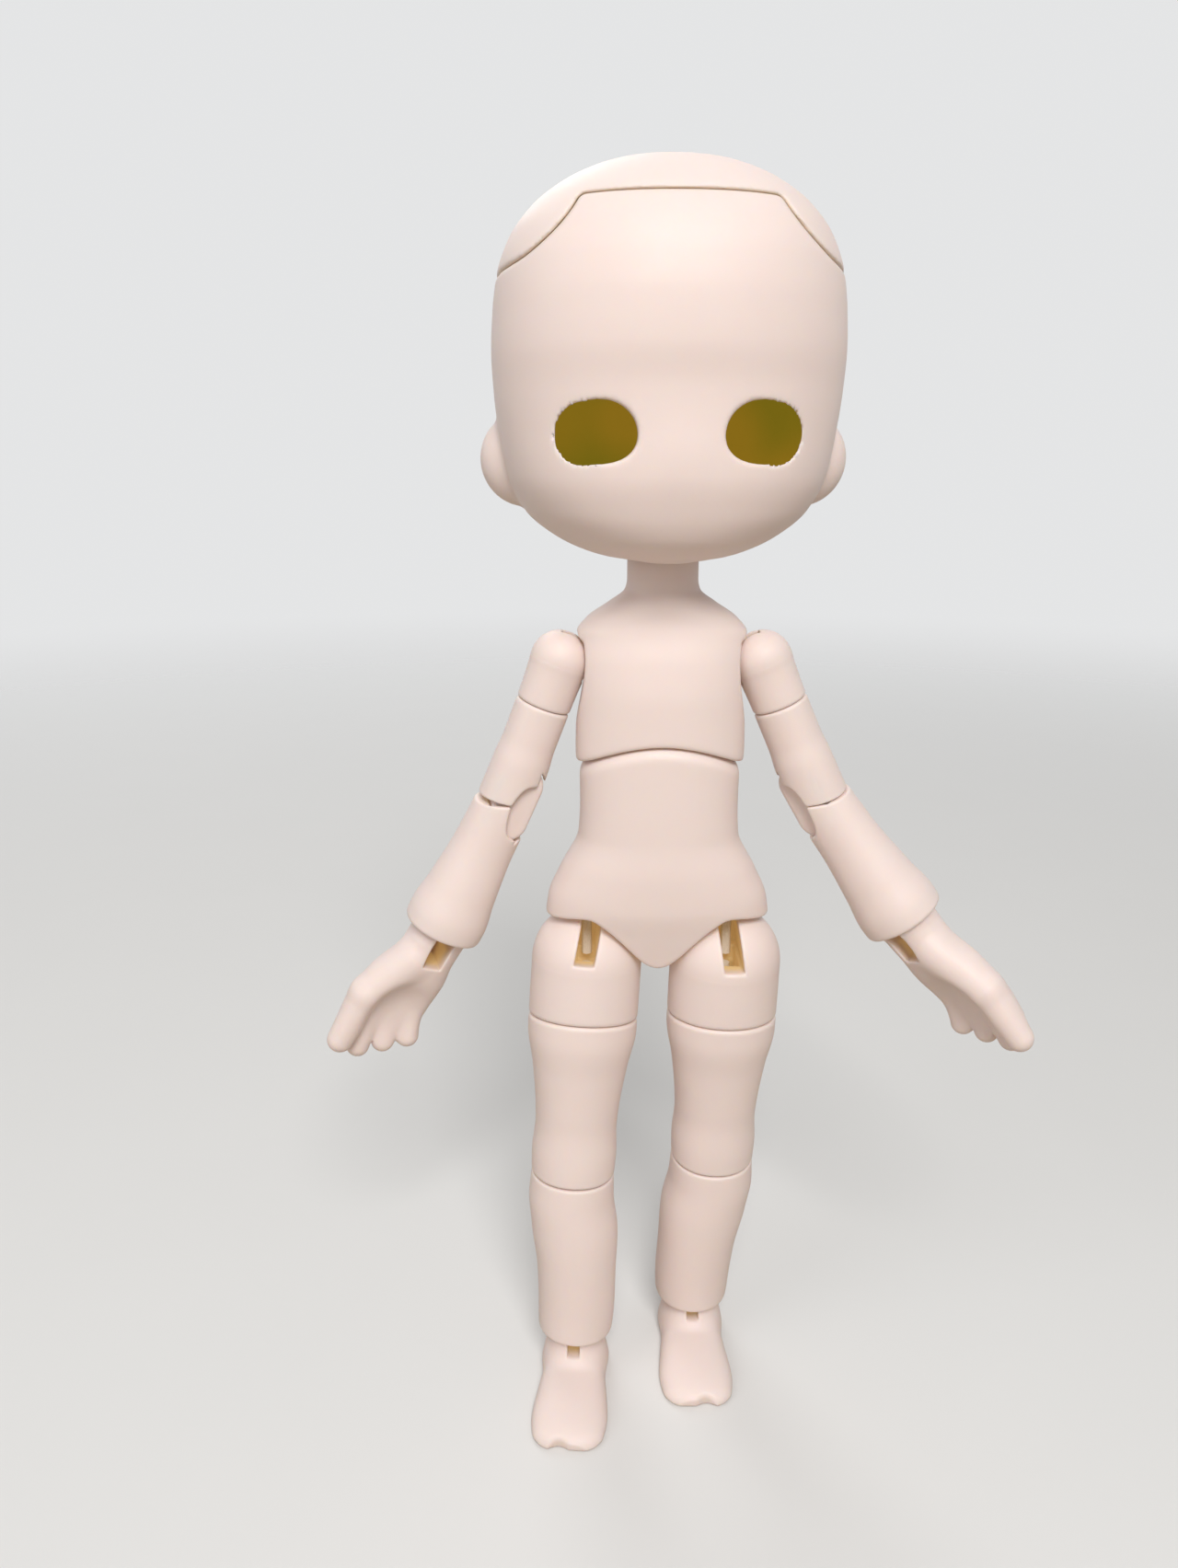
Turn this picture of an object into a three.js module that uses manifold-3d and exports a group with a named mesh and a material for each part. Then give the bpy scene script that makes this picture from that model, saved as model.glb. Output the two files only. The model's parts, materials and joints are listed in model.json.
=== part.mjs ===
// Ball-jointed doll, about 16 cm tall, cast in resin and strung on elastic cord.
// Millimetres, +Z up. The doll looks along -Y and its left arm is on the +X side.
import * as THREE from 'three';
import { mergeVertices } from 'three/addons/utils/BufferGeometryUtils.js';
import Module from 'manifold-3d';

const wasm = await Module();
wasm.setup();

// Clearances, cord and wire
const GAP = 0.3;               // running gap in every joint and seam
const CORD = 1.4;              // elastic cord, diameter
const CORD_GAP = 0.4;          // between two stretches of cord, end to end
const BORE = 2.6;              // channel for the cord, and the width of its slots
const STRAND = 0.55;           // the torso's two strands lie side by side, this far from the middle
const HIP_BORE = 1.8;          // radius of the pelvis's two slanted channels
const HOOK_CHAMBER = 2.3;      // radius of the room for a hook above the wrist or the ankle
const WIRE = 1.0;              // hook wire, diameter

// Legs, from the sole up
const ANKLE_HEIGHT = 8.0;      // ankle centre above the sole
const SHIN_LENGTH = 23.6;      // ankle centre to knee middle
const THIGH_LENGTH = 31.4;     // knee middle to hip centre
const HIP_SPACING = 18.6;      // hip centre to hip centre
const HIP_BALL = 7.35;         // radius
const HIP_SLOT_FOOT = 1.2;     // lower end of the hip slot, above the hip centre
const HIP_SLOT_BACK = 2.8;     // rear end of the hip slot
const HIP_THROAT = 4.5;        // the slot is deeper this far forward of the hip centre
const THIGH_SEAM = 8.2;        // hip centre to the thigh seam
const THIGH_SEAM_TILT = 9;     // degrees, front up
const THIGH_TOP = 7.4;         // radius at the seam
const THIGH_LOW = 5.65;        // radius above the knee
const KNEE_RADIUS = 6.0;       // of the leg at the knee
const KNEE_SPACING = 6.4;      // between the two knee hinges
const KNEE_ROUND = 4.1;        // radius of the knee link
const KNEE_HALF = 3.7;         // half the thickness of the knee link
const KNEE_BACK = 1.5;         // knee hinges behind the leg's middle
const KNEE_APEX = 1.2;         // the fold notch starts this far behind the middle
const SHIN_BOW = 1.8;          // ankle inward of the knee
const SHIN_CORD_BEND = 5.0;    // the cord bends towards the ankle this far below the hinge
const SHIN_TOP = 6.1;          // radius
const SHIN_LOW = 5.4;          // radius at the ankle cuff
const ANKLE_BALL = 4.45;       // radius
const ANKLE_CUFF = 1.0;        // cuff below the ankle centre
const FOOT_LENGTH = 20.5;
const FOOT_WIDTH = 10.5;
const HEEL = 4.9;              // heel behind the ankle centre
const FOOT_SLOT = 1.7;         // width of the slot in the ankle

// Pelvis, heights from the hip line
const HIP_WIDTH = 29.6;
const HIP_EDGE = 6.1;          // side edge above the hip line
const FRONT_EDGE = 7.6;        // front edge above the hip line
const CROTCH_TIP = 0.4;        // lower tip above the hip line
const CROTCH_HALF = 7.0;       // half width of the V between the legs
const BELLY_WIDTH = 20.3;
const BELLY_DEPTH = 13.6;
const HIP_DEPTH = 15.4;
const WAIST_HEIGHT = 29.6;     // top of the waist dome's side edge
const WAIST_CENTRE = 18.2;     // centre of the waist dome
const WAIST_DOME = 13.5;       // radius
const WAIST_HOLE = 3.4;        // radius, for two strands

// Chest and neck, heights from the hip line
const CHEST_WIDTH = 21.4;
const CHEST_DEPTH = 13.4;
const CHEST_WALL = 2.2;
const SHOULDER_HEIGHT = 40.4;
const SHOULDER_SPACING = 25.2;
const SHOULDER_TOP = 45.0;     // where the shoulders start to slope to the neck
const NECK_HEIGHT = 54.0;      // neck ball centre
const NECK_BALL = 4.35;        // radius, as wide as the neck
const NECK_WALL = 1.5;
const NECK_FLARE = 0.7;        // slope of the head's mouth round the neck, so that it can nod
const NECK_BASE = 5.6;         // radius where the neck meets the shoulders

// Arms, along each arm from the shoulder centre
const SHOULDER_BALL = 3.75;    // radius
const SHOULDER_DISH = 7.2;     // radius of the shallow dish round the shoulder's cup
const SHOULDER_DISH_DEPTH = 1.0;
const SHOULDER_DISH_TOP = 2.8; // the dish stops this far above the shoulder centre
const ARM_SEAM = 6.1;          // seam below the shoulder cap
const ARM_TOP = 3.45;          // radius
const SPIGOT = 2.3;            // radius of the swivel spigot in the arm
const SPIGOT_LENGTH = 1.3;     // of the arm's and the thigh's swivel spigots
const THIGH_SPIGOT = 5.2;      // radius
const ARM_LOW = 3.85;          // radius at the elbow
const UPPER_ARM = 19.2;        // shoulder centre to elbow middle
const ELBOW_SPACING = 5.0;     // between the two elbow hinges
const ELBOW_ROUND = 2.75;      // radius of the elbow link
const ELBOW_HALF = 2.5;        // half the thickness of the elbow link
const ELBOW_IN = 0.75;         // elbow hinges inward of the arm's middle
const ELBOW_APEX = 0.9;        // the fold notch starts this far inward of the middle
const ELBOW_OVER = 15;         // degrees the elbow opens past straight
const FOLD = 30;               // degrees, each side of a fold notch from the limb's axis
const FOREARM = 19.0;          // elbow middle to wrist centre
const FOREARM_LOW = 5.35;      // radius of the cuff
const WRIST_BALL = 4.25;       // radius
const WRIST_CUFF = 1.3;        // cuff below the wrist centre
const HOOK_HEIGHT = 7.0;       // of a hand or foot hook above its bar
const HAND_LENGTH = 23.0;      // wrist centre to the longest fingertip
const PALM_WIDTH = 10.8;
const FINGER = 1.55;           // radius

// Head, heights from the neck ball centre
const HEAD_HEIGHT = 43.4;
const CHIN_DROP = -1.1;        // underside of the chin, below the neck ball centre
const HEAD_WIDTH = 40.5;
const FACE_DEPTH = 18.6;       // neck axis to the forehead
const HEAD_BACK = 20.8;        // neck axis to the back of the head
const HEAD_WALL = 1.9;
const NECK_SEAT = 6.6;         // outside radius of the seat over the neck ball
const EYE_WIDTH = 8.1;
const EYE_HEIGHT = 6.6;
const EYE_SPACING = 16.8;
const EYE_LEVEL = 14.8;
const EAR_HEIGHT = 10.2;
const EAR_LEVEL = 12.2;
const EAR_OUT = 21.9;          // tip of each ear from the middle
const CAP_LEVEL = 30.9;        // seam plane where it crosses the neck axis
const CAP_TILT = 32;           // degrees, lower at the back
const TONGUE_WIDTH = 23;       // raised rim behind the brow
const TONGUE_HEIGHT = 0.9;
const MAGNET = 2.0;            // radius
const MAGNET_THICK = 1.6;
const MAGNET_SPACING = 29;
const MAGNET_BACK = 3.5;       // magnets behind the neck axis, in the seam plane
const BAR = 0.6;               // radius of the bar that each hook holds
const HOOK_LOOP = BAR + GAP + WIRE / 2;   // radius of the hook's loop round its bar
const NECK_LOOP = -2.1;        // middle of the neck hook's loop, from the neck ball centre
const NECK_LOOP_BACK = 0.3;
const NECK_LOOP_RADIUS = 1.6;
const NECK_STRAND = 1.9;       // the cord's two strands at the neck hook, from the middle
const NECK_LOOP_FOOT = 1.8;    // the cord's loop ends this far below the hook
const CORD_END = 0.75;         // a stretch of cord stops this far from a joint's centre
const WAIST_STRANDS = 3.5;     // length of the strands above the waist dome
const HOOK_BAR = 7.0;          // length of the neck hook's bar

// Pose in degrees: the doll's right side is -1, its left side is +1
const POSE = {
  '-1': { name: 'right', arm: 21, elbow: 6, fold: 12, hand: 20, lean: 3.6, toe: 4 },
  '1': { name: 'left', arm: 24, elbow: 15, fold: 35, hand: 50, lean: -1.2, toe: 0 },
};
const STEP = 4.2;              // degrees the right leg swings forward; the left leg trails to match
const HEAD_TURN = 2;

const SIDES = 16;              // facets round a limb
const resin = { color: 0xeee3d3, roughness: 0.55, metalness: 0 };
const elastic = { color: 0xf4f1ea, roughness: 0.8, metalness: 0 };
const steel = { color: 0xb9bcc0, roughness: 0.3, metalness: 1 };
const nickel = { color: 0xc8c9cc, roughness: 0.2, metalness: 1 };

const rad = THREE.MathUtils.degToRad;

// Solids: a closed three.js geometry becomes a manifold body, which can be cut and joined
function solid(geometry) {
  const bare = geometry.clone();
  bare.deleteAttribute('normal');
  bare.deleteAttribute('uv');
  const merged = mergeVertices(bare, 1e-5);
  const corners = merged.index.array;
  const kept = [];
  for (let i = 0; i < corners.length; i += 3) {
    const [a, b, c] = [corners[i], corners[i + 1], corners[i + 2]];
    if (a !== b && b !== c && c !== a) kept.push(a, b, c);
  }
  return new wasm.Manifold(new wasm.Mesh({
    numProp: 3,
    vertProperties: new Float32Array(merged.attributes.position.array),
    triVerts: new Uint32Array(kept),
  }));
}

function join(first, ...others) {
  return others.reduce((body, other) => body.add(other), first);
}

function cut(first, ...others) {
  return others.reduce((body, other) => body.subtract(other), first);
}

function geometryOf(body, mirrored) {
  const { vertProperties, triVerts, numProp } = body.getMesh();
  const places = new Float32Array(vertProperties.length / numProp * 3);
  for (let i = 0; i < places.length / 3; i += 1) {
    const flip = mirrored ? -1 : 1;
    places[3 * i] = flip * vertProperties[numProp * i];
    places[3 * i + 1] = vertProperties[numProp * i + 1];
    places[3 * i + 2] = vertProperties[numProp * i + 2];
  }
  const corners = Array.from(triVerts);
  if (mirrored) {
    for (let i = 0; i < corners.length; i += 3) {
      [corners[i + 1], corners[i + 2]] = [corners[i + 2], corners[i + 1]];
    }
  }
  const geometry = new THREE.BufferGeometry();
  geometry.setAttribute('position', new THREE.BufferAttribute(places, 3));
  geometry.setIndex(corners);
  geometry.computeVertexNormals();
  return geometry;
}

function addPiece(parent, name, body, look, mirrored = false) {
  const piece = new THREE.Mesh(geometryOf(body, mirrored), new THREE.MeshStandardMaterial(look));
  piece.name = name;
  parent.add(piece);
  return piece;
}

function addGroup(parent, name, x, y, z, turn = {}) {
  const group = new THREE.Group();
  group.name = name;
  group.position.set(x, y, z);
  group.rotation.set(rad(turn.x ?? 0), rad(turn.y ?? 0), rad(turn.z ?? 0), 'ZYX');
  parent.add(group);
  return group;
}

// Simple shapes
function ball(radius, x = 0, y = 0, z = 0, around = 14, up = 8) {
  const geometry = new THREE.SphereGeometry(radius, around, up);
  geometry.rotateX(Math.PI / 2);
  return solid(geometry.translate(x, y, z));
}

function block(x0, x1, y0, y1, z0, z1) {
  const geometry = new THREE.BoxGeometry(x1 - x0, y1 - y0, z1 - z0);
  return solid(geometry.translate((x0 + x1) / 2, (y0 + y1) / 2, (z0 + z1) / 2));
}

function rod(radius, from, to, sides = 12, endRadius = radius) {
  const start = new THREE.Vector3(...from);
  const line = new THREE.Vector3(...to).sub(start);
  const geometry = new THREE.CylinderGeometry(endRadius, radius, line.length(), sides);
  geometry.translate(0, line.length() / 2, 0);
  const turn = new THREE.Quaternion().setFromUnitVectors(new THREE.Vector3(0, 1, 0), line.clone().normalize());
  geometry.applyQuaternion(turn);
  return solid(geometry.translate(start.x, start.y, start.z));
}

// A round-ended bar between two points, with a radius at each
function finger(from, to, startRadius, endRadius, sides = 8) {
  const start = new THREE.Vector3(...from);
  const line = new THREE.Vector3(...to).sub(start);
  const arcSteps = 2;
  const profile = [];
  for (let i = 0; i <= arcSteps; i += 1) {
    const angle = -Math.PI / 2 + i / arcSteps * Math.PI / 2;
    profile.push(new THREE.Vector2(startRadius * Math.cos(angle), startRadius * Math.sin(angle)));
  }
  for (let i = 0; i <= arcSteps; i += 1) {
    const angle = i / arcSteps * Math.PI / 2;
    profile.push(new THREE.Vector2(endRadius * Math.cos(angle), line.length() + endRadius * Math.sin(angle)));
  }
  profile[0].x = 0;
  profile[profile.length - 1].x = 0;
  const geometry = new THREE.LatheGeometry(profile, sides);
  const turn = new THREE.Quaternion().setFromUnitVectors(new THREE.Vector3(0, 1, 0), line.clone().normalize());
  geometry.applyQuaternion(turn);
  return solid(geometry.translate(start.x, start.y, start.z));
}

// A bar of one radius along a smooth curve
function wire(points, radius, steps, sides = 8) {
  const path = new THREE.CatmullRomCurve3(points.map((p) => new THREE.Vector3(...p)));
  const section = new THREE.Shape();
  section.absarc(0, 0, radius, 0, 2 * Math.PI);
  return solid(new THREE.ExtrudeGeometry(section, { steps, curveSegments: sides / 2, extrudePath: path }));
}

// A loft through sections along z. Each key is [z, half width, front, back, middle x, middle y,
// squareness], and the rows between two keys follow a cubic that never overshoots them.
function slopes(places, values) {
  const chords = values.slice(1).map((value, i) => (value - values[i]) / (places[i + 1] - places[i]));
  return values.map((_, i) => {
    if (i === 0) return chords[0];
    if (i === values.length - 1) return chords[i - 1];
    const [a, b] = [chords[i - 1], chords[i]];
    return a * b <= 0 ? 0 : 2 * a * b / (a + b);
  });
}

function loft(keys, options) {
  return solid(loftGeometry(keys, options));
}

function loftGeometry(keys, { steps = 2, sides = SIDES, squareness = 2.2 } = {}) {
  const full = keys.map(([z, half, front, back = front, x = 0, y = 0, square = squareness]) => (
    [z, half, front, back, x, y, square]));
  const places = full.map((key) => key[0]);
  const tangents = full[0].map((_, n) => slopes(places, full.map((key) => key[n])));
  const rows = [];
  for (let i = 0; i < full.length - 1; i += 1) {
    const last = i === full.length - 2 ? steps : steps - 1;
    for (let j = 0; j <= last; j += 1) {
      const t = j / steps;
      const span = places[i + 1] - places[i];
      const row = [places[i] + t * span];
      for (let n = 1; n < full[0].length; n += 1) {
        const [a, b] = [full[i][n], full[i + 1][n]];
        const [da, db] = [tangents[n][i] * span, tangents[n][i + 1] * span];
        row.push((2 * t ** 3 - 3 * t ** 2 + 1) * a + (t ** 3 - 2 * t ** 2 + t) * da
          + (3 * t ** 2 - 2 * t ** 3) * b + (t ** 3 - t ** 2) * db);
      }
      rows.push(row);
    }
  }
  if (rows[0][0] > rows[rows.length - 1][0]) rows.reverse();
  const places3 = [];
  for (const [z, half, front, back, x, y, square] of rows) {
    for (let k = 0; k < sides; k += 1) {
      const angle = 2 * Math.PI * k / sides;
      const [c, s] = [Math.cos(angle), Math.sin(angle)];
      const across = Math.sign(c) * Math.abs(c) ** (2 / square);
      const deep = Math.sign(s) * Math.abs(s) ** (2 / square);
      places3.push(x + half * across, y + (s < 0 ? front : back) * deep, z);
    }
  }
  const corners = [];
  for (let r = 0; r < rows.length - 1; r += 1) {
    for (let k = 0; k < sides; k += 1) {
      const [a, b] = [r * sides + k, r * sides + (k + 1) % sides];
      corners.push(a, b, b + sides, a, b + sides, a + sides);
    }
  }
  const bottom = places3.length / 3;
  places3.push(rows[0][4], rows[0][5], rows[0][0]);
  const top = bottom + 1;
  const last = rows[rows.length - 1];
  places3.push(last[4], last[5], last[0]);
  for (let k = 0; k < sides; k += 1) {
    const next = (k + 1) % sides;
    corners.push(bottom, next, k);
    corners.push(top, (rows.length - 1) * sides + k, (rows.length - 1) * sides + next);
  }
  const geometry = new THREE.BufferGeometry();
  geometry.setAttribute('position', new THREE.BufferAttribute(new Float32Array(places3), 3));
  geometry.setIndex(corners);
  return geometry;
}

function extruded(shape, depth, bevel = 0, curveSegments = 8) {
  const geometry = new THREE.ExtrudeGeometry(shape, {
    depth: depth - 2 * bevel,
    bevelEnabled: bevel > 0,
    bevelThickness: bevel,
    bevelSize: bevel,
    bevelOffset: -bevel,
    bevelSegments: 1,
    curveSegments,
  });
  return geometry.translate(0, 0, bevel - depth / 2);
}

// A tilted half space: all that lies above or below a plane through [x, y, z]
function halfSpace([x, y, z], { above, tiltX = 0, tiltY = 0, reach = 60 }) {
  const geometry = new THREE.BoxGeometry(2 * reach, 2 * reach, reach);
  geometry.translate(0, 0, above ? reach / 2 : -reach / 2);
  geometry.rotateX(rad(tiltX));
  geometry.rotateY(rad(tiltY));
  return solid(geometry.translate(x, y, z));
}

// A straight stretch of cord
function cord(from, to) {
  return rod(CORD / 2, from, to, 8);
}

// Double joint: a link with two parallel hinges along y, the upper one at z = 0 and the lower one
// at z = -spacing. It bends towards -x, so the cord's slots open on that side at both ends.
function hingeLink(radius, spacing, half) {
  const shape = new THREE.Shape();
  shape.absarc(0, 0, radius, 0, Math.PI);
  shape.absarc(0, -spacing, radius, Math.PI, 2 * Math.PI);
  shape.closePath();
  const plate = extruded(shape, 2 * half, 0.5, 4).rotateX(Math.PI / 2);
  const reach = radius + 1;
  const bore = rod(BORE / 2, [0, 0, -spacing - reach], [0, 0, reach], 10);
  const upper = block(-reach, 0, -BORE / 2, BORE / 2, -radius * 0.45, reach);
  const lower = block(-reach, 0, -BORE / 2, BORE / 2, -spacing - reach, -spacing + radius * 0.45);
  return cut(solid(plate), bore, upper, lower);
}

// The room for one end of the link, in a limb that ends at the height "lip"
function hingeRoom(radius, half, back, height, lip) {
  const reach = radius + GAP;
  const drum = new THREE.CylinderGeometry(reach, reach, 2 * (half + GAP), SIDES);
  const [low, high] = lip < height ? [lip, height] : [height, lip];
  const mouth = block(-back - reach, -back + reach, -half - GAP, half + GAP, low, high);
  return join(solid(drum.translate(-back, 0, height)), mouth);
}

// The wedge cut from a limb's end so that it can fold towards -u, from a point on the seam.
// "up" is 1 for the limb above the seam and -1 for the limb below it.
function foldNotch(apex, seam, up, angle, reach = 12) {
  const shape = new THREE.Shape();
  shape.moveTo(apex, seam - up * reach);
  shape.lineTo(apex, seam);
  shape.lineTo(apex - reach * Math.sin(rad(angle)), seam + up * reach * Math.cos(rad(angle)));
  shape.lineTo(apex - 2 * reach, seam);
  shape.lineTo(apex - 2 * reach, seam - up * reach);
  shape.closePath();
  return solid(extruded(shape, 2 * reach).rotateX(Math.PI / 2));
}

// Pelvis: belly, hips and the V between the legs, with a dome for the chest and cups for the legs
function pelvisBody() {
  const [hip, belly] = [HIP_WIDTH / 2, BELLY_WIDTH / 2];
  const [deep, flat] = [HIP_DEPTH / 2, BELLY_DEPTH / 2];
  const form = loft([
    [CROTCH_TIP - 1, hip, deep - 3.8, deep - 2.6],
    [HIP_EDGE - 1, hip, deep - 1.9, deep - 0.4],
    [HIP_EDGE + 2, hip - 0.4, deep - 0.5, deep + 0.2],
    [HIP_EDGE + 6.5, hip - 2.1, flat + 0.3, deep - 0.3],
    [WAIST_CENTRE, belly + 0.2, flat, flat - 0.2],
    [WAIST_CENTRE + 4, belly, flat, flat - 0.3],
    [WAIST_HEIGHT + 3, belly + 0.2, flat, flat],
  ], { squareness: 2.3, sides: 20, steps: 1 });
  const outline = new THREE.Shape();
  outline.moveTo(0, CROTCH_TIP);
  outline.bezierCurveTo(2.6, CROTCH_TIP, 3.4, CROTCH_TIP + 3.2, CROTCH_HALF, FRONT_EDGE - 0.6);
  outline.bezierCurveTo(CROTCH_HALF + 1.4, FRONT_EDGE, hip - 3, HIP_EDGE, hip + 2, HIP_EDGE - 0.2);
  outline.lineTo(hip + 2, WAIST_HEIGHT + 9);
  outline.lineTo(-hip - 2, WAIST_HEIGHT + 9);
  outline.lineTo(-hip - 2, HIP_EDGE - 0.2);
  outline.bezierCurveTo(3 - hip, HIP_EDGE, -CROTCH_HALF - 1.4, FRONT_EDGE, -CROTCH_HALF, FRONT_EDGE - 0.6);
  outline.bezierCurveTo(-3.4, CROTCH_TIP + 3.2, -2.6, CROTCH_TIP, 0, CROTCH_TIP);
  const front = solid(extruded(outline, 4 * deep, 0, 4).rotateX(Math.PI / 2));
  const dome = ball(WAIST_DOME, 0, 0, WAIST_CENTRE, 20, 16);
  const below = block(-hip - 3, hip + 3, -2 * deep, 2 * deep, -20, WAIST_CENTRE);
  let body = form.intersect(front).intersect(join(dome, below));
  for (const side of [-1, 1]) {
    const x = side * HIP_SPACING / 2;
    body = cut(body, ball(HIP_BALL + GAP, x, 0, 0, 18, 10));
    const bend = [x, 0, HIP_BALL + 3.4];
    body = cut(body, rod(HIP_BORE, [x, 0, 0], bend, 10));
    body = cut(body, rod(HIP_BORE, bend, [side * STRAND, 0, WAIST_CENTRE + 2], 10), ball(HIP_BORE, ...bend, 10, 6));
  }
  return cut(body, rod(WAIST_HOLE, [0, 0, WAIST_CENTRE - 2], [0, 0, WAIST_CENTRE + WAIST_DOME + 2], 16));
}

// Chest: ribs, shoulders and neck in one, hollow, with a cup for the dome and sockets for the arms
function chestBody() {
  const [half, deep] = [CHEST_WIDTH / 2, CHEST_DEPTH / 2];
  const bottom = WAIST_CENTRE + 8.0;
  const form = loft([
    [bottom - 1.2, half - 1.0, deep - 1.0, deep - 1.2],
    [bottom + 0.6, half - 0.1, deep - 0.1, deep - 0.4],
    [bottom + 3, half, deep, deep - 0.2],
    [SHOULDER_HEIGHT - 5, half - 0.1, deep, deep],
    [SHOULDER_HEIGHT, half, deep - 0.5, deep],
    [SHOULDER_TOP - 1.2, half - 0.1, deep - 1.6, deep - 1.1],
    [SHOULDER_TOP + 0.8, half - 1.8, deep - 2.4, deep - 2.0],
    [SHOULDER_TOP + 2.6, NECK_BASE + 1.0, NECK_BASE - 0.6, NECK_BASE - 0.3, 0, 0, 2.1],
    [SHOULDER_TOP + 4.2, NECK_BALL + 0.25, NECK_BALL, NECK_BALL, 0, 0, 2],
    [SHOULDER_TOP + 5.4, NECK_BALL, NECK_BALL, NECK_BALL, 0, 0, 2],
    [NECK_HEIGHT, NECK_BALL, NECK_BALL, NECK_BALL, 0, 0, 2],
  ], { squareness: 2.3, sides: 20, steps: 1 });
  const inside = loft([
    [WAIST_CENTRE + WAIST_DOME + 1.6, half - CHEST_WALL - 1.5, deep - CHEST_WALL - 1, deep - CHEST_WALL - 1],
    [SHOULDER_HEIGHT - 3, half - CHEST_WALL - 0.8, deep - CHEST_WALL, deep - CHEST_WALL],
    [SHOULDER_TOP - 1.5, half - CHEST_WALL - 3, deep - CHEST_WALL - 1.8, deep - CHEST_WALL - 1.8],
    [SHOULDER_TOP + 0.2, NECK_BASE - 2, NECK_BASE - 2.6, NECK_BASE - 2.6],
  ], { steps: 1, sides: 16 });
  let body = join(form, ball(NECK_BALL, 0, 0, NECK_HEIGHT, 16, 8));
  body = cut(body, inside, ball(WAIST_DOME + GAP, 0, 0, WAIST_CENTRE, 20, 16));
  body = cut(body, rod(WAIST_HOLE, [0, 0, WAIST_CENTRE], [0, 0, SHOULDER_HEIGHT], 16));
  const neckBore = NECK_BALL - NECK_WALL;
  body = cut(body, rod(neckBore, [0, 0, SHOULDER_HEIGHT], [0, 0, NECK_HEIGHT], 14));
  body = cut(body, rod(neckBore, [0, 0, NECK_HEIGHT - 0.01], [0, 0, NECK_HEIGHT + NECK_BALL + 1], 14, neckBore + 1.0));
  for (const side of [-1, 1]) {
    const x = side * SHOULDER_SPACING / 2;
    body = cut(body, ball(SHOULDER_BALL + GAP, x, 0, SHOULDER_HEIGHT), shoulderDish(side));
    body = cut(body, rod(BORE / 2, [0, 0, SHOULDER_HEIGHT], [x, 0, SHOULDER_HEIGHT], 10));
  }
  return body;
}

// A shallow dish in the chest's side, so that the arm can hang and swing close to it
function shoulderDish(side) {
  const outside = 2;
  const [width, deep] = [CHEST_WIDTH / 2, SHOULDER_DISH_DEPTH];
  const slope = (SHOULDER_DISH - SHOULDER_BALL) / deep;
  const cone = new THREE.CylinderGeometry(SHOULDER_BALL, SHOULDER_DISH + outside * slope, deep + outside, 18);
  cone.rotateZ(side * Math.PI / 2);
  cone.translate(side * (width - deep + (deep + outside) / 2), 0, SHOULDER_HEIGHT);
  const below = block(-2 * width, 2 * width, -20, 20, 0, SHOULDER_HEIGHT + SHOULDER_DISH_TOP);
  return solid(cone).intersect(below);
}

// Shoulder cap: a ball and the top of the arm, with a slot from the inner side to the top
function shoulderBody() {
  const reach = SHOULDER_BALL + 1;
  const stem = loft([
    [-0.5, SHOULDER_BALL - 0.05, SHOULDER_BALL - 0.05],
    [-3, ARM_TOP + 0.1, ARM_TOP + 0.1],
    [-ARM_SEAM + GAP / 2, ARM_TOP, ARM_TOP],
  ], { squareness: 2, steps: 1 });
  const spigot = rod(SPIGOT, [0, 0, -ARM_SEAM + 1], [0, 0, -ARM_SEAM - SPIGOT_LENGTH], 16);
  const bore = rod(BORE / 2, [0, 0, 0], [0, 0, -ARM_SEAM - 2], 10);
  const slot = block(-reach, BORE / 2, -BORE / 2, BORE / 2, -1.6, reach);
  return cut(join(ball(SHOULDER_BALL, 0, 0, 0), stem, spigot), bore, slot);
}

// Upper arm, in the shoulder's frame: from the seam to the lip over the elbow link
function upperArmBody() {
  const hinge = -UPPER_ARM + ELBOW_SPACING / 2;
  const lip = -UPPER_ARM + GAP / 2;
  const form = loft([
    [-ARM_SEAM - GAP / 2, ARM_TOP, ARM_TOP],
    [-ARM_SEAM - 5, ARM_TOP, ARM_TOP + 0.05],
    [hinge + ELBOW_ROUND, ARM_LOW - 0.2, ARM_LOW - 0.1],
    [lip - 0.1, ARM_LOW, ARM_LOW],
  ], { squareness: 2.1, steps: 1 });
  const recess = rod(SPIGOT + GAP, [0, 0, 0], [0, 0, -ARM_SEAM - SPIGOT_LENGTH - GAP], 16);
  const bore = rod(BORE / 2, [0, 0, 0], [-ELBOW_IN, 0, hinge], 10);
  const room = hingeRoom(ELBOW_ROUND, ELBOW_HALF, ELBOW_IN, hinge, lip - 2);
  const notch = foldNotch(-ELBOW_APEX, lip, 1, FOLD);
  const lean = halfSpace([-ELBOW_APEX, 0, lip], { above: false, tiltY: -ELBOW_OVER / 2, reach: 20 });
  return cut(form, recess, bore, room, notch, lean);
}

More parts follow.
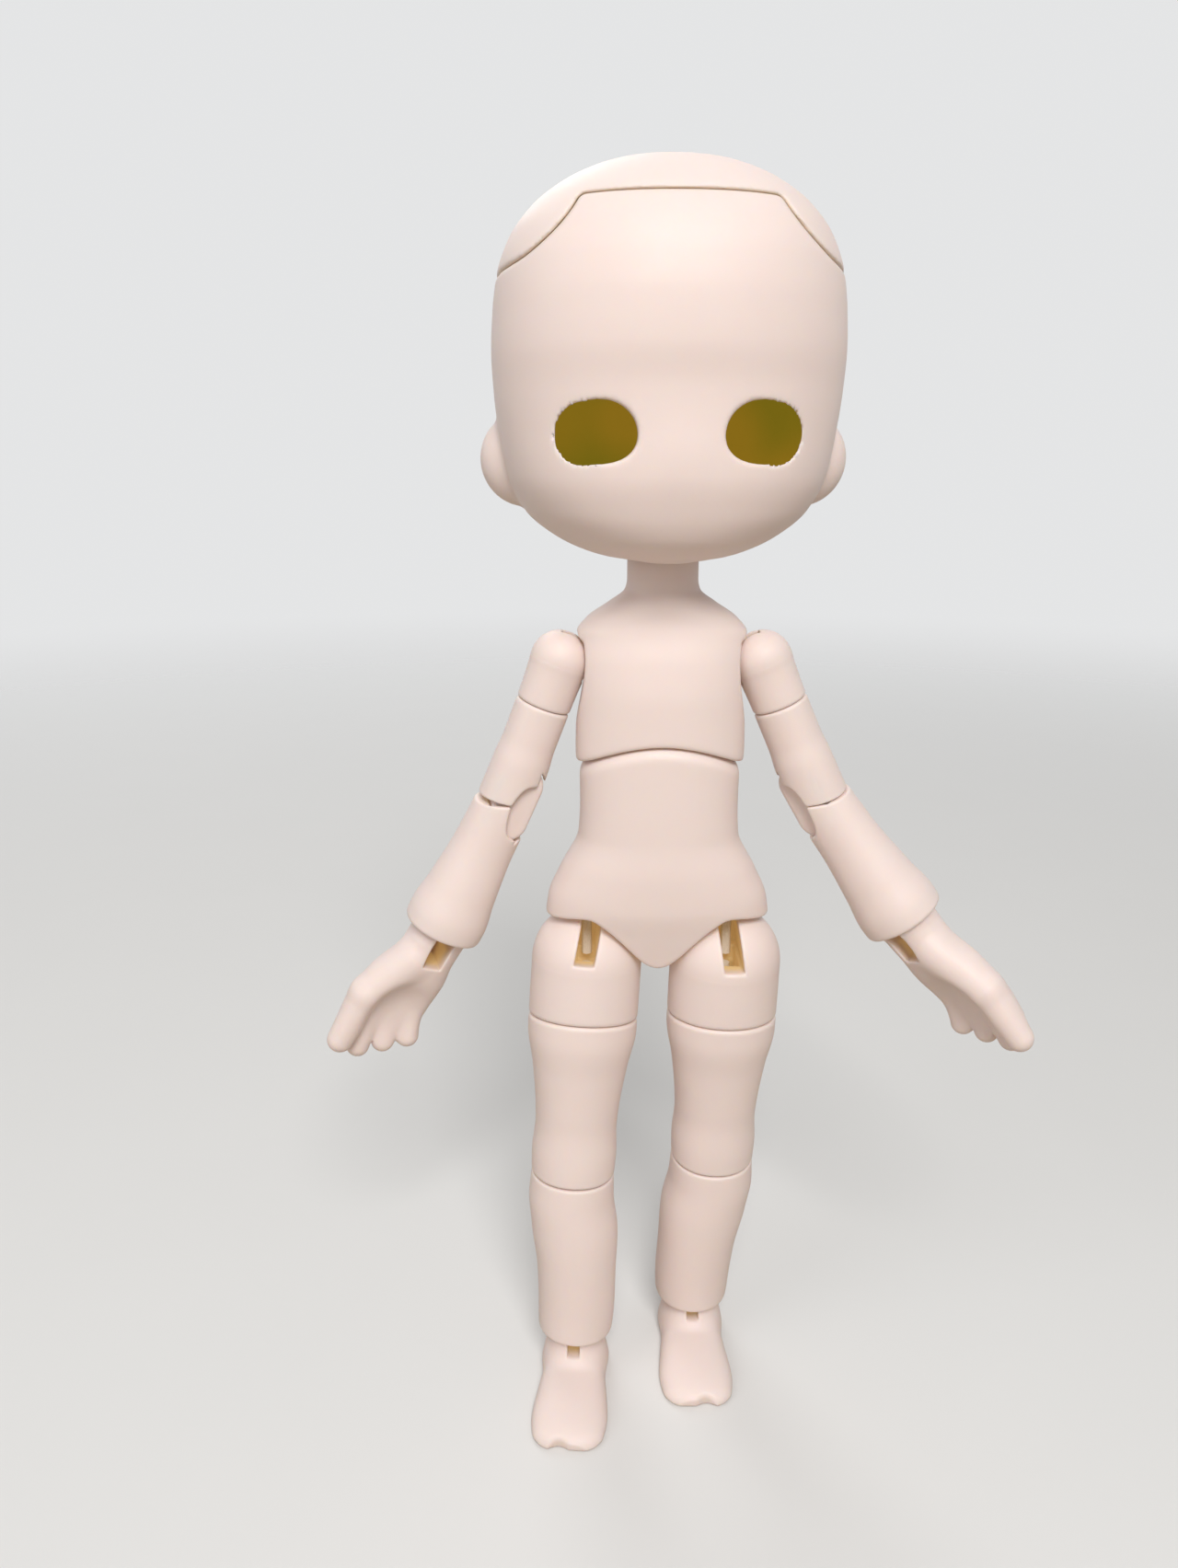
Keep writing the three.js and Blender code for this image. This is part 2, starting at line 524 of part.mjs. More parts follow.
// Forearm, from the elbow's lower hinge down to the cuff over the wrist ball
function forearmBody() {
  const lip = ELBOW_SPACING / 2 - GAP / 2;
  const wrist = ELBOW_SPACING / 2 - FOREARM;
  const rim = wrist - WRIST_CUFF;
  const form = loft([
    [lip + 0.1, ARM_LOW, ARM_LOW],
    [-4, ARM_LOW + 0.15, ARM_LOW + 0.1],
    [wrist + 5, FOREARM_LOW - 0.65, FOREARM_LOW - 0.6],
    [wrist + 1, FOREARM_LOW - 0.05, FOREARM_LOW],
    [rim, FOREARM_LOW - 0.1, FOREARM_LOW - 0.1],
  ], { squareness: 2.1, steps: 1 });
  const cup = ball(WRIST_BALL + GAP, 0, 0, wrist);
  const chamber = rod(HOOK_CHAMBER, [0, 0, wrist], [0, 0, wrist + HOOK_HEIGHT + 1.5], 12);
  const bore = join(chamber, rod(BORE / 2, [-ELBOW_IN, 0, 0], [0, 0, wrist], 10));
  const room = hingeRoom(ELBOW_ROUND, ELBOW_HALF, ELBOW_IN, 0, lip + 2);
  const notch = foldNotch(-ELBOW_APEX, lip, -1, FOLD);
  const lean = halfSpace([-ELBOW_APEX, 0, lip], { above: true, tiltY: ELBOW_OVER / 2, reach: 20 });
  return cut(form, cup, bore, room, notch, lean);
}

// A ball with a bar across its middle for a hook, and a slot from the top round to the front
function hookBall(radius, slotWidth, foot) {
  const reach = radius + 1;
  const slot = block(-slotWidth / 2, slotWidth / 2, -reach, HOOK_LOOP + WIRE / 2 + GAP, foot, reach);
  const bar = rod(BAR, [-slotWidth / 2 - 0.5, 0, 0], [slotWidth / 2 + 0.5, 0, 0], 8);
  return { slot, bar };
}

// Hand: wrist ball, hollow palm, a thumb along the outer edge and three fingers
function handBody() {
  const { slot, bar } = hookBall(WRIST_BALL, BORE, -2.6);
  const half = PALM_WIDTH / 2;
  const tip = -HAND_LENGTH + FINGER;
  const palm = loft([
    [-2, 3.7, 3.5],
    [-5, 3.9, 3.1, 3.0, 0.5],
    [-9, half - 0.2, 2.1, 2.9, 1.7, 0.2],
    [-13, half, 1.1, 2.5, 2.0, 0.9],
    [tip + 5.6, half - 0.7, 0.7, 2.0, 1.8, 1.0],
    [tip + 3.4, half - 1.5, 0.4, 1.2, 1.6, 0.9],
  ], { steps: 1, squareness: 2.3, sides: 14 });
  const hollow = ball(1, 0, 0, 0, 14, 8);
  const thumbRoot = finger([2.2, -0.9, -4.5], [5.4, -1.5, -12], 2.4, 2.2);
  const thumbTip = finger([5.4, -1.5, -12], [7.1, -1.9, tip + 1.6], 2.2, FINGER + 0.1);
  let body = join(ball(WRIST_BALL, 0, 0, 0), palm, thumbRoot, thumbTip);
  for (let i = 0; i < 3; i += 1) {
    const root = [4.2 - 2.8 * i, 1.3, -12.5 + 0.8 * i];
    const end = [3.3 - 2.95 * i, 0.1, tip + 1.6 * i];
    body = join(body, finger(root, end, FINGER + 0.15, FINGER));
  }
  return join(cut(body, slot), bar);
}

// Hip: a ball slotted from the top to the front, and the top of the thigh down to the seam
function hipBody() {
  const reach = HIP_BALL + 1;
  const stem = loft([
    [0, HIP_BALL, HIP_BALL],
    [-THIGH_SEAM + 3, THIGH_TOP, THIGH_TOP],
    [-THIGH_SEAM - 2, THIGH_TOP, THIGH_TOP],
  ], { squareness: 2, sides: 18, steps: 1 });
  const below = halfSpace([0, 0, -THIGH_SEAM + GAP / 2], { above: false, tiltX: -THIGH_SEAM_TILT });
  const spigot = solid(tiltedDrum(THIGH_SPIGOT, -SPIGOT_LENGTH, 1));
  const bore = rod(BORE / 2, [0, 0, 0], [0, 0, -THIGH_SEAM - 4], 12);
  const slot = block(-BORE / 2, BORE / 2, -reach, HIP_SLOT_BACK, HIP_SLOT_FOOT, reach);
  const throat = block(-BORE / 2, BORE / 2, -HIP_THROAT, BORE / 2, -0.8, HIP_SLOT_FOOT + 1);
  const top = cut(join(ball(HIP_BALL, 0, 0, 0, 18, 10), stem), below);
  return cut(join(top, spigot), bore, slot, throat);
}

// A round spigot square to the thigh seam
function tiltedDrum(radius, low, high) {
  const geometry = new THREE.CylinderGeometry(radius, radius, high - low, 18);
  geometry.rotateX(Math.PI / 2);
  geometry.translate(0, 0, (low + high) / 2);
  geometry.rotateX(rad(-THIGH_SEAM_TILT));
  return geometry.translate(0, 0, -THIGH_SEAM);
}

// Thigh, in the hip's frame: from the seam to the kneecap
function thighBody() {
  const hinge = -THIGH_LENGTH + KNEE_SPACING / 2;
  const lip = -THIGH_LENGTH + GAP / 2;
  const form = loft([
    [-THIGH_SEAM + 2, THIGH_TOP, THIGH_TOP],
    [-THIGH_SEAM - 1.5, THIGH_TOP, THIGH_TOP],
    [-THIGH_SEAM - 7, THIGH_TOP - 0.9, THIGH_TOP - 0.7],
    [-THIGH_SEAM - 13, THIGH_LOW + 0.15, THIGH_LOW + 0.5],
    [hinge + KNEE_ROUND, THIGH_LOW, THIGH_LOW + 0.3],
    [hinge, KNEE_RADIUS - 0.1, KNEE_RADIUS],
    [lip, KNEE_RADIUS - 0.2, KNEE_RADIUS - 0.1],
  ], { squareness: 2.1, steps: 1, sides: 18 });
  const above = halfSpace([0, 0, -THIGH_SEAM - GAP / 2], { above: true, tiltX: -THIGH_SEAM_TILT });
  const recess = solid(tiltedDrum(THIGH_SPIGOT + GAP, -SPIGOT_LENGTH - GAP, 3));
  const bore = rod(BORE / 2, [0, 0, 0], [0, KNEE_BACK, hinge], 12);
  return cut(form, above, recess, bore, legRoom(hinge, lip - 2), legNotch(lip, 1));
}

// The knee bends backwards, so its room and notches are turned from -u to +y
function legRoom(height, lip) {
  const reach = KNEE_ROUND + GAP;
  const half = KNEE_HALF + GAP;
  const drum = new THREE.CylinderGeometry(reach, reach, 2 * half, SIDES);
  const [low, high] = lip < height ? [lip, height] : [height, lip];
  const mouth = block(-half, half, KNEE_BACK - reach, KNEE_BACK + reach, low, high);
  return join(solid(drum.rotateZ(Math.PI / 2).translate(0, KNEE_BACK, height)), mouth);
}

function legNotch(seam, up, reach = 18) {
  const shape = new THREE.Shape();
  shape.moveTo(-KNEE_APEX, seam - up * reach);
  shape.lineTo(-KNEE_APEX, seam);
  shape.lineTo(-KNEE_APEX - reach * Math.sin(rad(FOLD)), seam + up * reach * Math.cos(rad(FOLD)));
  shape.lineTo(-KNEE_APEX - 2 * reach, seam);
  shape.lineTo(-KNEE_APEX - 2 * reach, seam - up * reach);
  shape.closePath();
  return solid(extruded(shape, 2 * reach).rotateX(Math.PI / 2).rotateZ(-Math.PI / 2));
}

// Shin, from the knee's lower hinge down to the cuff over the ankle
function shinBody() {
  const lip = KNEE_SPACING / 2 - GAP / 2;
  const ankle = KNEE_SPACING / 2 - SHIN_LENGTH;
  const form = loft([
    [lip, KNEE_RADIUS - 0.25, KNEE_RADIUS - 0.1],
    [0, KNEE_RADIUS - 0.05, KNEE_RADIUS],
    [-5, SHIN_TOP, SHIN_TOP, SHIN_TOP, -0.4 * SHIN_BOW],
    [-12, SHIN_LOW + 0.2, SHIN_LOW + 0.5, SHIN_LOW + 0.5, -0.8 * SHIN_BOW],
    [ankle + 1, SHIN_LOW, SHIN_LOW + 0.1, SHIN_LOW + 0.1, -SHIN_BOW],
    [ankle - ANKLE_CUFF, SHIN_LOW - 0.15, SHIN_LOW, SHIN_LOW, -SHIN_BOW],
  ], { squareness: 2.1, steps: 1, sides: 18 });
  const cup = ball(ANKLE_BALL + GAP, -SHIN_BOW, 0, ankle);
  const mouth = rod(ANKLE_BALL + GAP, [-SHIN_BOW, 0, ankle], [-SHIN_BOW, 0, ankle - ANKLE_CUFF - 1], 14);
  const chamber = rod(HOOK_CHAMBER, [-SHIN_BOW, 0, ankle], [-SHIN_BOW, 0, ankle + HOOK_HEIGHT + 1.5], 12);
  const [bend, foot] = [[0, KNEE_BACK, -SHIN_CORD_BEND], [-SHIN_BOW, 0, ankle + HOOK_HEIGHT + 1]];
  const elbow = ball(BORE / 2 + 0.1, ...bend, 12, 8);
  const bore = join(rod(BORE / 2, [0, KNEE_BACK, 0], bend, 12), elbow, rod(BORE / 2, bend, foot, 12));
  return cut(form, cup, mouth, chamber, bore, legRoom(0, lip + 2), legNotch(lip, -1));
}

function shinCordBody() {
  const low = KNEE_SPACING / 2 - SHIN_LENGTH + HOOK_HEIGHT + WIRE / 2 + GAP;
  return wire([
    [0, KNEE_BACK, -CORD_END], [0, KNEE_BACK, -SHIN_CORD_BEND + 1.2],
    [-0.25 * SHIN_BOW, 0.75 * KNEE_BACK, -SHIN_CORD_BEND - 0.9], [-SHIN_BOW, 0, low],
  ], CORD / 2, 6, 6);
}

// Foot: ankle ball, instep and toes with a notch beside the big toe, flat underneath
function footBody() {
  const { slot, bar } = hookBall(ANKLE_BALL, FOOT_SLOT, -3.4);
  const half = FOOT_WIDTH / 2;
  const toe = FOOT_LENGTH - HEEL;
  const low = -ANKLE_HEIGHT;
  const sole = [
    [-HEEL, 2.0, 1.6], [0.6 - HEEL, 3.5, 3.0], [-1, 4.2, 4.4], [2.5, 4.4, 4.4],
    [6, half - 0.4, 3.5], [toe - 5, half, 2.9], [toe - 2, half - 0.4, 2.3], [toe - 0.5, half - 1.5, 1.7],
    [toe, half - 2.6, 1.2],
  ];
  const form = loftForward(sole, low);
  const neck = ANKLE_BALL - 0.3;
  const ankle = loft([
    [low + 1.5, neck + 0.5, neck + 0.9, neck + 0.6],
    [low + 3.4, neck + 0.2, neck + 0.5, neck + 0.2],
    [-2.6, neck - 0.1, neck, neck - 0.1],
    [-1.6, neck - 0.1, neck - 0.1, neck - 0.1],
  ], { squareness: 2, steps: 1 });
  const notch = finger([1.1, -toe - 1, low - 1], [1.1, -toe - 1, 0], 1.5, 1.5, 10);
  const under = block(-20, 20, -40, 20, low - 20, low);
  const body = join(form, ankle, ball(ANKLE_BALL, 0, 0, 0));
  return join(cut(body, notch, under, slot), bar);
}

// A loft along -y over a flat floor. Each key is [distance forward, half width, height].
function loftForward(keys, floor) {
  const full = keys.map(([z, half, tall]) => [z, half, 1, tall, 0, 0]);
  const geometry = loftGeometry(full, { steps: 1, sides: 16, squareness: 2.4 });
  geometry.rotateX(Math.PI / 2);
  return solid(geometry.translate(0, 0, floor));
}

// Wire hook: a loop below round the bar at z = 0, and an open eye above for the cord
function barHook() {
  const [r, top] = [HOOK_LOOP, HOOK_HEIGHT];
  return wire([
    [0, -r, 0.7], [0, -r, -0.3], [0, 0, -r], [0, r, -0.3], [0, r, 0.9], [0, 0, 2.7],
    [0, 0, top - 2.6], [0, 1.0, top - 1.6], [0, 0.8, top - 0.4], [0, -0.2, top], [0, -1.0, top - 0.8],
  ], WIRE / 2, 16, 6);
}

// Head: one outer form and one inner form, cut apart along the cap's tilted seam.
// Each row is the share of the height, and then the shares of the width, the face and the back.
const HEAD_ROWS = [
  [0, 0.2, 0.5, 0.1],
  [0.018, 0.42, 0.66, 0.35],
  [0.065, 0.65, 0.82, 0.61],
  [0.13, 0.82, 0.9, 0.78],
  [0.22, 0.92, 0.95, 0.89],
  [0.33, 0.965, 0.96, 0.96],
  [0.43, 0.99, 0.975, 0.99],
  [0.53, 1, 1, 1],
  [0.63, 0.988, 0.99, 0.985],
  [0.72, 0.96, 0.955, 0.95],
  [0.8, 0.895, 0.885, 0.875],
  [0.87, 0.78, 0.775, 0.765],
  [0.925, 0.625, 0.625, 0.615],
  [0.965, 0.44, 0.45, 0.44],
  [0.99, 0.235, 0.24, 0.24],
  [1, 0.05, 0.05, 0.05],
];

function headForm(inset) {
  const [wide, front, back] = [HEAD_WIDTH / 2 - inset, FACE_DEPTH - inset, HEAD_BACK - inset];
  const [low, top] = [CHIN_DROP + inset, CHIN_DROP + HEAD_HEIGHT - inset];
  const inner = inset > 0;
  const rows = HEAD_ROWS.filter((_, i) => !inner || i % 2 === 0 || i === HEAD_ROWS.length - 1);
  return loft(rows.map(([share, a, b, c]) => [low + share * (top - low), a * wide, b * front, c * back]),
    { steps: 1, sides: inner ? 16 : 26, squareness: 2.25 });
}

// Above or below the seam plane, which carries a tongue along the brow on the face's side
function seamSide(above) {
  const offset = above ? GAP / 2 : -GAP / 2;
  const reach = 60;
  const plane = new THREE.BoxGeometry(2 * reach, 2 * reach, reach);
  plane.translate(0, 0, offset + (above ? reach / 2 : -reach / 2));
  const half = TONGUE_WIDTH / 2 - offset;
  const tongue = new THREE.BoxGeometry(2 * half, 20, 4);
  tongue.translate(0, -FACE_DEPTH - 3, TONGUE_HEIGHT + offset - 2);
  const place = (geometry) => solid(geometry.rotateX(rad(-CAP_TILT)).translate(0, 0, CAP_LEVEL));
  return above ? cut(place(plane), place(widened(tongue, offset))) : join(place(plane), place(tongue));
}

function widened(geometry, offset) {
  const half = TONGUE_WIDTH / 2;
  return geometry.scale((half + offset) / (half - offset), 1, 1);
}

function magnetAt(side, low, high, radius) {
  const geometry = new THREE.CylinderGeometry(radius, radius, high - low, 16);
  geometry.rotateX(Math.PI / 2);
  geometry.translate(side * MAGNET_SPACING / 2, MAGNET_BACK, (low + high) / 2);
  return solid(geometry.rotateX(rad(-CAP_TILT)).translate(0, 0, CAP_LEVEL));
}

function magnets(low, high, radius) {
  return join(magnetAt(-1, low, high, radius), magnetAt(1, low, high, radius));
}

function eyeOutline(side) {
  const [w, h] = [EYE_WIDTH / 2, EYE_HEIGHT / 2];
  const shape = new THREE.Shape();
  shape.moveTo(-w * side, 0);
  shape.bezierCurveTo(-w * side, 0.72 * h, -0.55 * w * side, h, 0, h);
  shape.bezierCurveTo(0.6 * w * side, h, w * side, 0.62 * h, w * side, 0.05 * h);
  shape.bezierCurveTo(w * side, -0.55 * h, 0.62 * w * side, -h, 0.02 * w * side, -h);
  shape.bezierCurveTo(-0.5 * w * side, -h, -w * side, -0.6 * h, -w * side, 0);
  return shape;
}

function headShell() {
  const bossLow = -MAGNET_THICK - 1.4;
  const outer = headForm(0);
  const seat = ball(NECK_SEAT, 0, 0, 0, 16, 10);
  const bosses = magnets(bossLow, -bossLow, MAGNET + 1.0);
  const wells = [];
  for (const side of [-1, 1]) {
    wells.push(ball(5.6, side * EYE_SPACING / 2, -FACE_DEPTH + 7.1, EYE_LEVEL, 12, 8));
  }
  const inside = cut(join(headForm(HEAD_WALL), ...wells), seat, bosses);
  const ears = [-1, 1].map((side) => {
    const geometry = new THREE.SphereGeometry(1, 12, 8);
    geometry.scale(3.4, 4.0, EAR_HEIGHT / 2);
    return solid(geometry.translate(side * (EAR_OUT - 3.4), 1.2, EAR_LEVEL));
  });
  const cup = ball(NECK_BALL + GAP, 0, 0, 0, 16, 8);
  const mouth = rod(NECK_BALL + GAP, [0, 0, 0], [0, 0, -NECK_BALL], 16, (1 + NECK_FLARE) * NECK_BALL + GAP);
  const slot = block(-1.3, 1.3, -3.2, 3.2, 0, NECK_SEAT + 2);
  let body = cut(join(outer, ...ears), inside, cup, mouth, slot);
  for (const side of [-1, 1]) {
    const hole = extruded(eyeOutline(side), 16, 0, 4).rotateX(Math.PI / 2);
    body = cut(body, solid(hole.translate(side * EYE_SPACING / 2, -FACE_DEPTH, EYE_LEVEL)));
  }
  return body;
}

// Neck hook: a bar that rests on the seat in the head, and a loop below that holds the cord
function neckHookBody() {
  const top = NECK_SEAT + GAP + WIRE / 2;
  const half = HOOK_BAR / 2;
  const [y, z, r] = [NECK_LOOP_BACK, NECK_LOOP, NECK_LOOP_RADIUS];
  return wire([
    [-half, 0, top + 0.4], [1 - half, 0, top], [-1.2, 0, top], [0, 0, top - 1.2], [0, 0, 2.6], [0, -0.6, 0.2],
    [0, y - r, z], [0, y, z - r], [0, y + r, z], [0, y + 0.8 * r, z + 0.7 * r],
  ], WIRE / 2, 18, 6);
}

// The cord's short loop over the neck hook
function neckCordBody() {
  const [x, y, low] = [NECK_STRAND, NECK_LOOP_BACK, NECK_LOOP - NECK_LOOP_RADIUS];
  const crown = low + WIRE / 2 + CORD / 2 + GAP;
  return wire([
    [-x, y, low - NECK_LOOP_FOOT], [-x, y, low - 0.5], [-0.68 * x, y, crown - 0.5], [0, y, crown],
    [0.68 * x, y, crown - 0.5], [x, y, low - 0.5], [x, y, low - NECK_LOOP_FOOT],
  ], CORD / 2, 10, 6);
}

// Two strands of the leg cord in the chest; they pass behind the arm cord
function chestStrands() {
  const top = NECK_HEIGHT + NECK_LOOP - NECK_LOOP_RADIUS - NECK_LOOP_FOOT - CORD_GAP;
  const behind = CORD + CORD_GAP;
  return bothSides((side) => wire([
    [side * NECK_STRAND, NECK_LOOP_BACK, top], [side * STRAND, behind - 0.4, SHOULDER_HEIGHT + 2.5],
    [side * STRAND, behind, SHOULDER_HEIGHT], [side * STRAND, behind - 0.6, SHOULDER_HEIGHT - 3],
    [side * STRAND, 0, WAIST_CENTRE + WAIST_DOME + WAIST_STRANDS + CORD_GAP],
  ], CORD / 2, 9, 6));
}

// The stretch between the pelvis and the chest
function waistStrands() {
  const low = WAIST_CENTRE + WAIST_DOME + GAP;
  const high = WAIST_CENTRE + WAIST_DOME + WAIST_STRANDS;
  return bothSides((side) => cord([side * STRAND, 0, low], [side * STRAND, 0, high]));
}

// In the pelvis the two strands part, one to each hip
function pelvisStrands() {
  const top = WAIST_CENTRE + WAIST_DOME - CORD_GAP;
  const hip = HIP_SPACING / 2;
  const bend = HIP_BALL + 3.4;
  const middle = (STRAND + hip) / 2;
  return bothSides((side) => wire([
    [side * STRAND, 0, top], [side * STRAND, 0, WAIST_CENTRE + 3],
    [side * middle, 0, (bend + WAIST_CENTRE + 2) / 2], [side * hip, 0, bend],
    [side * hip, 0, HIP_BALL + GAP + 0.3],
  ], CORD / 2, 8, 6));
}

function bothSides(make) {
  return join(make(-1), make(1));
}

// How far a leg's ankle hangs below its hip, and the swing that gives a wanted drop
const ANKLE_DOWN = THIGH_LENGTH + SHIN_LENGTH;

function legDrop(side, lean, swing) {
  const [across, turn] = [-side * SHIN_BOW, rad(-side * lean)];
  return Math.sin(turn) * across + Math.cos(turn) * ANKLE_DOWN * Math.cos(rad(swing));
}

function swingForDrop(side, lean, wanted) {
  const [across, turn] = [-side * SHIN_BOW, rad(-side * lean)];
  const share = (wanted - Math.sin(turn) * across) / (Math.cos(turn) * ANKLE_DOWN);
  return THREE.MathUtils.radToDeg(Math.acos(Math.min(share, 1)));
}

// Assembly: each group's origin is a joint's centre, and its pieces hang below it
const doll = new THREE.Group();
doll.name = 'doll';
const drop = legDrop(-1, POSE['-1'].lean, STEP);
const pelvis = addGroup(doll, 'pelvis_body', 0, 0, ANKLE_HEIGHT + drop);
addPiece(pelvis, 'pelvis', pelvisBody(), resin);
addPiece(pelvis, 'cord_in_pelvis', pelvisStrands(), elastic);

const waist = addGroup(pelvis, 'waist_bend', 0, 0, WAIST_CENTRE);
const toWaist = addGroup(waist, 'waist_turn', 0, 0, 0);
const chest = addGroup(toWaist, 'chest_body', 0, 0, -WAIST_CENTRE);
addPiece(chest, 'cord_at_waist', waistStrands(), elastic);
addPiece(chest, 'chest', chestBody(), resin);
addPiece(chest, 'leg_cord_in_chest', chestStrands(), elastic);
const armCordReach = SHOULDER_SPACING / 2 - SHOULDER_BALL - GAP - CORD_GAP;
addPiece(chest, 'arm_cord_in_chest', cord([-armCordReach, 0, SHOULDER_HEIGHT], [armCordReach, 0, SHOULDER_HEIGHT]),
  elastic);

function addHead() {
  const neck = addGroup(chest, 'neck', 0, 0, NECK_HEIGHT);
  addPiece(neck, 'cord_at_neck', neckCordBody(), elastic);
  const head = addGroup(neck, 'head', 0, 0, 0, { z: HEAD_TURN });
  addPiece(head, 'neck_hook', neckHookBody(), steel);
  const shell = headShell();
  const pocket = MAGNET_THICK + GAP / 2;
  const magnetHole = MAGNET + 0.1;
  addPiece(head, 'face_shell', cut(shell.intersect(seamSide(false)), magnets(-pocket - 0.1, 1, magnetHole)), resin);
  addPiece(head, 'head_cap', cut(shell.intersect(seamSide(true)), magnets(-1, pocket + 0.1, magnetHole)), resin);
  for (const side of [-1, 1]) {
    addPiece(head, `face_magnet_${POSE[side].name}`, magnetAt(side, -pocket, -GAP / 2, MAGNET), nickel);
    addPiece(head, `cap_magnet_${POSE[side].name}`, magnetAt(side, GAP / 2, pocket, MAGNET), nickel);
  }
}

function addArm(side) {
  const { name, arm, elbow: open, fold, hand } = POSE[side];
  const mirrored = side < 0;
  const centre = SHOULDER_SPACING / 2;
  const swing = addGroup(chest, `shoulder_swing_${name}`, side * centre, 0, SHOULDER_HEIGHT);
  addPiece(swing, `cord_at_shoulder_${name}`, cord([GAP - SHOULDER_BALL, 0, 0], [-CORD_END, 0, 0]), elastic, mirrored);
  const upper = addGroup(swing, `shoulder_${name}`, 0, 0, 0, { y: -side * arm });
  addPiece(upper, `shoulder_cap_${name}`, shoulderBody(), resin, mirrored);
  addPiece(upper, `cord_in_shoulder_${name}`, cord([0, 0, -CORD_END], [0, 0, -ARM_SEAM]), elastic, mirrored);
  const turned = addGroup(upper, `upper_arm_turn_${name}`, 0, 0, 0, { z: -side * fold });
  addPiece(turned, `upper_arm_${name}`, upperArmBody(), resin, mirrored);
  const hingeHeight = -UPPER_ARM + ELBOW_SPACING / 2;
  addPiece(turned, `cord_in_upper_arm_${name}`,
    cord([0, 0, -ARM_SEAM - CORD_GAP], [-ELBOW_IN, 0, hingeHeight + CORD_END]), elastic, mirrored);
  const elbow = addGroup(turned, `elbow_${name}`, -side * ELBOW_IN, 0, hingeHeight, { y: -side * open / 2 });
  addPiece(elbow, `elbow_link_${name}`, hingeLink(ELBOW_ROUND, ELBOW_SPACING, ELBOW_HALF), resin, mirrored);
  addPiece(elbow, `cord_in_elbow_${name}`, cord([0, 0, -CORD_END], [0, 0, CORD_END - ELBOW_SPACING]), elastic, mirrored);
  const lower = addGroup(elbow, `forearm_hinge_${name}`, 0, 0, -ELBOW_SPACING, { y: -side * open / 2 });
  const fore = addGroup(lower, `forearm_body_${name}`, side * ELBOW_IN, 0, 0);
  const wristHeight = ELBOW_SPACING / 2 - FOREARM;
  addPiece(fore, `forearm_${name}`, forearmBody(), resin, mirrored);
  addPiece(fore, `cord_in_forearm_${name}`,
    cord([-ELBOW_IN, 0, -CORD_END], [0, 0, wristHeight + HOOK_HEIGHT + WIRE / 2 + GAP]), elastic, mirrored);
  const wrist = addGroup(fore, `wrist_${name}`, 0, 0, wristHeight, { z: -side * (hand - fold) });
  addPiece(wrist, `hand_hook_${name}`, barHook(), steel, mirrored);
  addPiece(wrist, `hand_${name}`, handBody(), resin, mirrored);
}

function addLeg(side) {
  const { name, lean, toe } = POSE[side];
  const swing = side < 0 ? STEP : -swingForDrop(side, lean, drop);
  const mirrored = side < 0;
  const spread = addGroup(pelvis, `hip_spread_${name}`, side * HIP_SPACING / 2, 0, 0);
  addPiece(spread, `cord_at_hip_${name}`, cord([0, 0, CORD_END], [0, 0, HIP_BALL - 0.15]), elastic, mirrored);
  const leg = addGroup(spread, `hip_${name}`, 0, 0, 0, { x: -swing, y: -side * lean });
  addPiece(leg, `hip_ball_${name}`, hipBody(), resin, mirrored);
  addPiece(leg, `cord_in_hip_${name}`, cord([0, 0, -CORD_END], [0, 0, -THIGH_SEAM]), elastic, mirrored);
  addPiece(leg, `thigh_${name}`, thighBody(), resin, mirrored);
  const hingeHeight = -THIGH_LENGTH + KNEE_SPACING / 2;
  addPiece(leg, `cord_in_thigh_${name}`,
    cord([0, 0, -THIGH_SEAM - CORD_GAP], [0, KNEE_BACK, hingeHeight + CORD_END]), elastic, mirrored);
  const knee = addGroup(leg, `knee_${name}`, 0, KNEE_BACK, hingeHeight);
  const link = addGroup(knee, `knee_turned_${name}`, 0, 0, 0, { z: -90 });
  addPiece(link, `knee_link_${name}`, hingeLink(KNEE_ROUND, KNEE_SPACING, KNEE_HALF), resin);
  addPiece(knee, `cord_in_knee_${name}`, cord([0, 0, -CORD_END], [0, 0, CORD_END - KNEE_SPACING]), elastic);
  const shin = addGroup(knee, `shin_hinge_${name}`, 0, 0, -KNEE_SPACING);
  const shinBodyGroup = addGroup(shin, `shin_body_${name}`, 0, -KNEE_BACK, 0);
  const ankleHeight = KNEE_SPACING / 2 - SHIN_LENGTH;
  addPiece(shinBodyGroup, `shin_${name}`, shinBody(), resin, mirrored);
  addPiece(shinBodyGroup, `cord_in_shin_${name}`, shinCordBody(), elastic, mirrored);
  const ankle = addGroup(shinBodyGroup, `ankle_${name}`, -side * SHIN_BOW, 0, ankleHeight);
  addPiece(ankle, `foot_hook_${name}`, barHook(), steel, mirrored);
  const foot = addGroup(ankle, `foot_body_${name}`, 0, 0, 0);
  doll.updateMatrixWorld(true);
  const level = ankle.getWorldQuaternion(new THREE.Quaternion()).invert();
  const toeOut = new THREE.Quaternion().setFromAxisAngle(new THREE.Vector3(0, 0, 1), rad(side * toe));
  foot.quaternion.copy(level).multiply(toeOut);
  addPiece(foot, `foot_${name}`, footBody(), resin, mirrored);
}

addHead();
for (const side of [-1, 1]) {
  addArm(side);
  addLeg(side);
}

// The origin is the middle of the bounding box, on the floor
const box = new THREE.Box3().setFromObject(doll);
doll.position.set(-(box.min.x + box.max.x) / 2, -(box.min.y + box.max.y) / 2, -box.min.z);

export default doll;
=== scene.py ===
"""Looks of the ball-jointed doll: every resin piece is a fine, softly rounded surface over its CAD node."""
import json
import math

import bpy
import numpy as np
from mathutils import Matrix, Vector


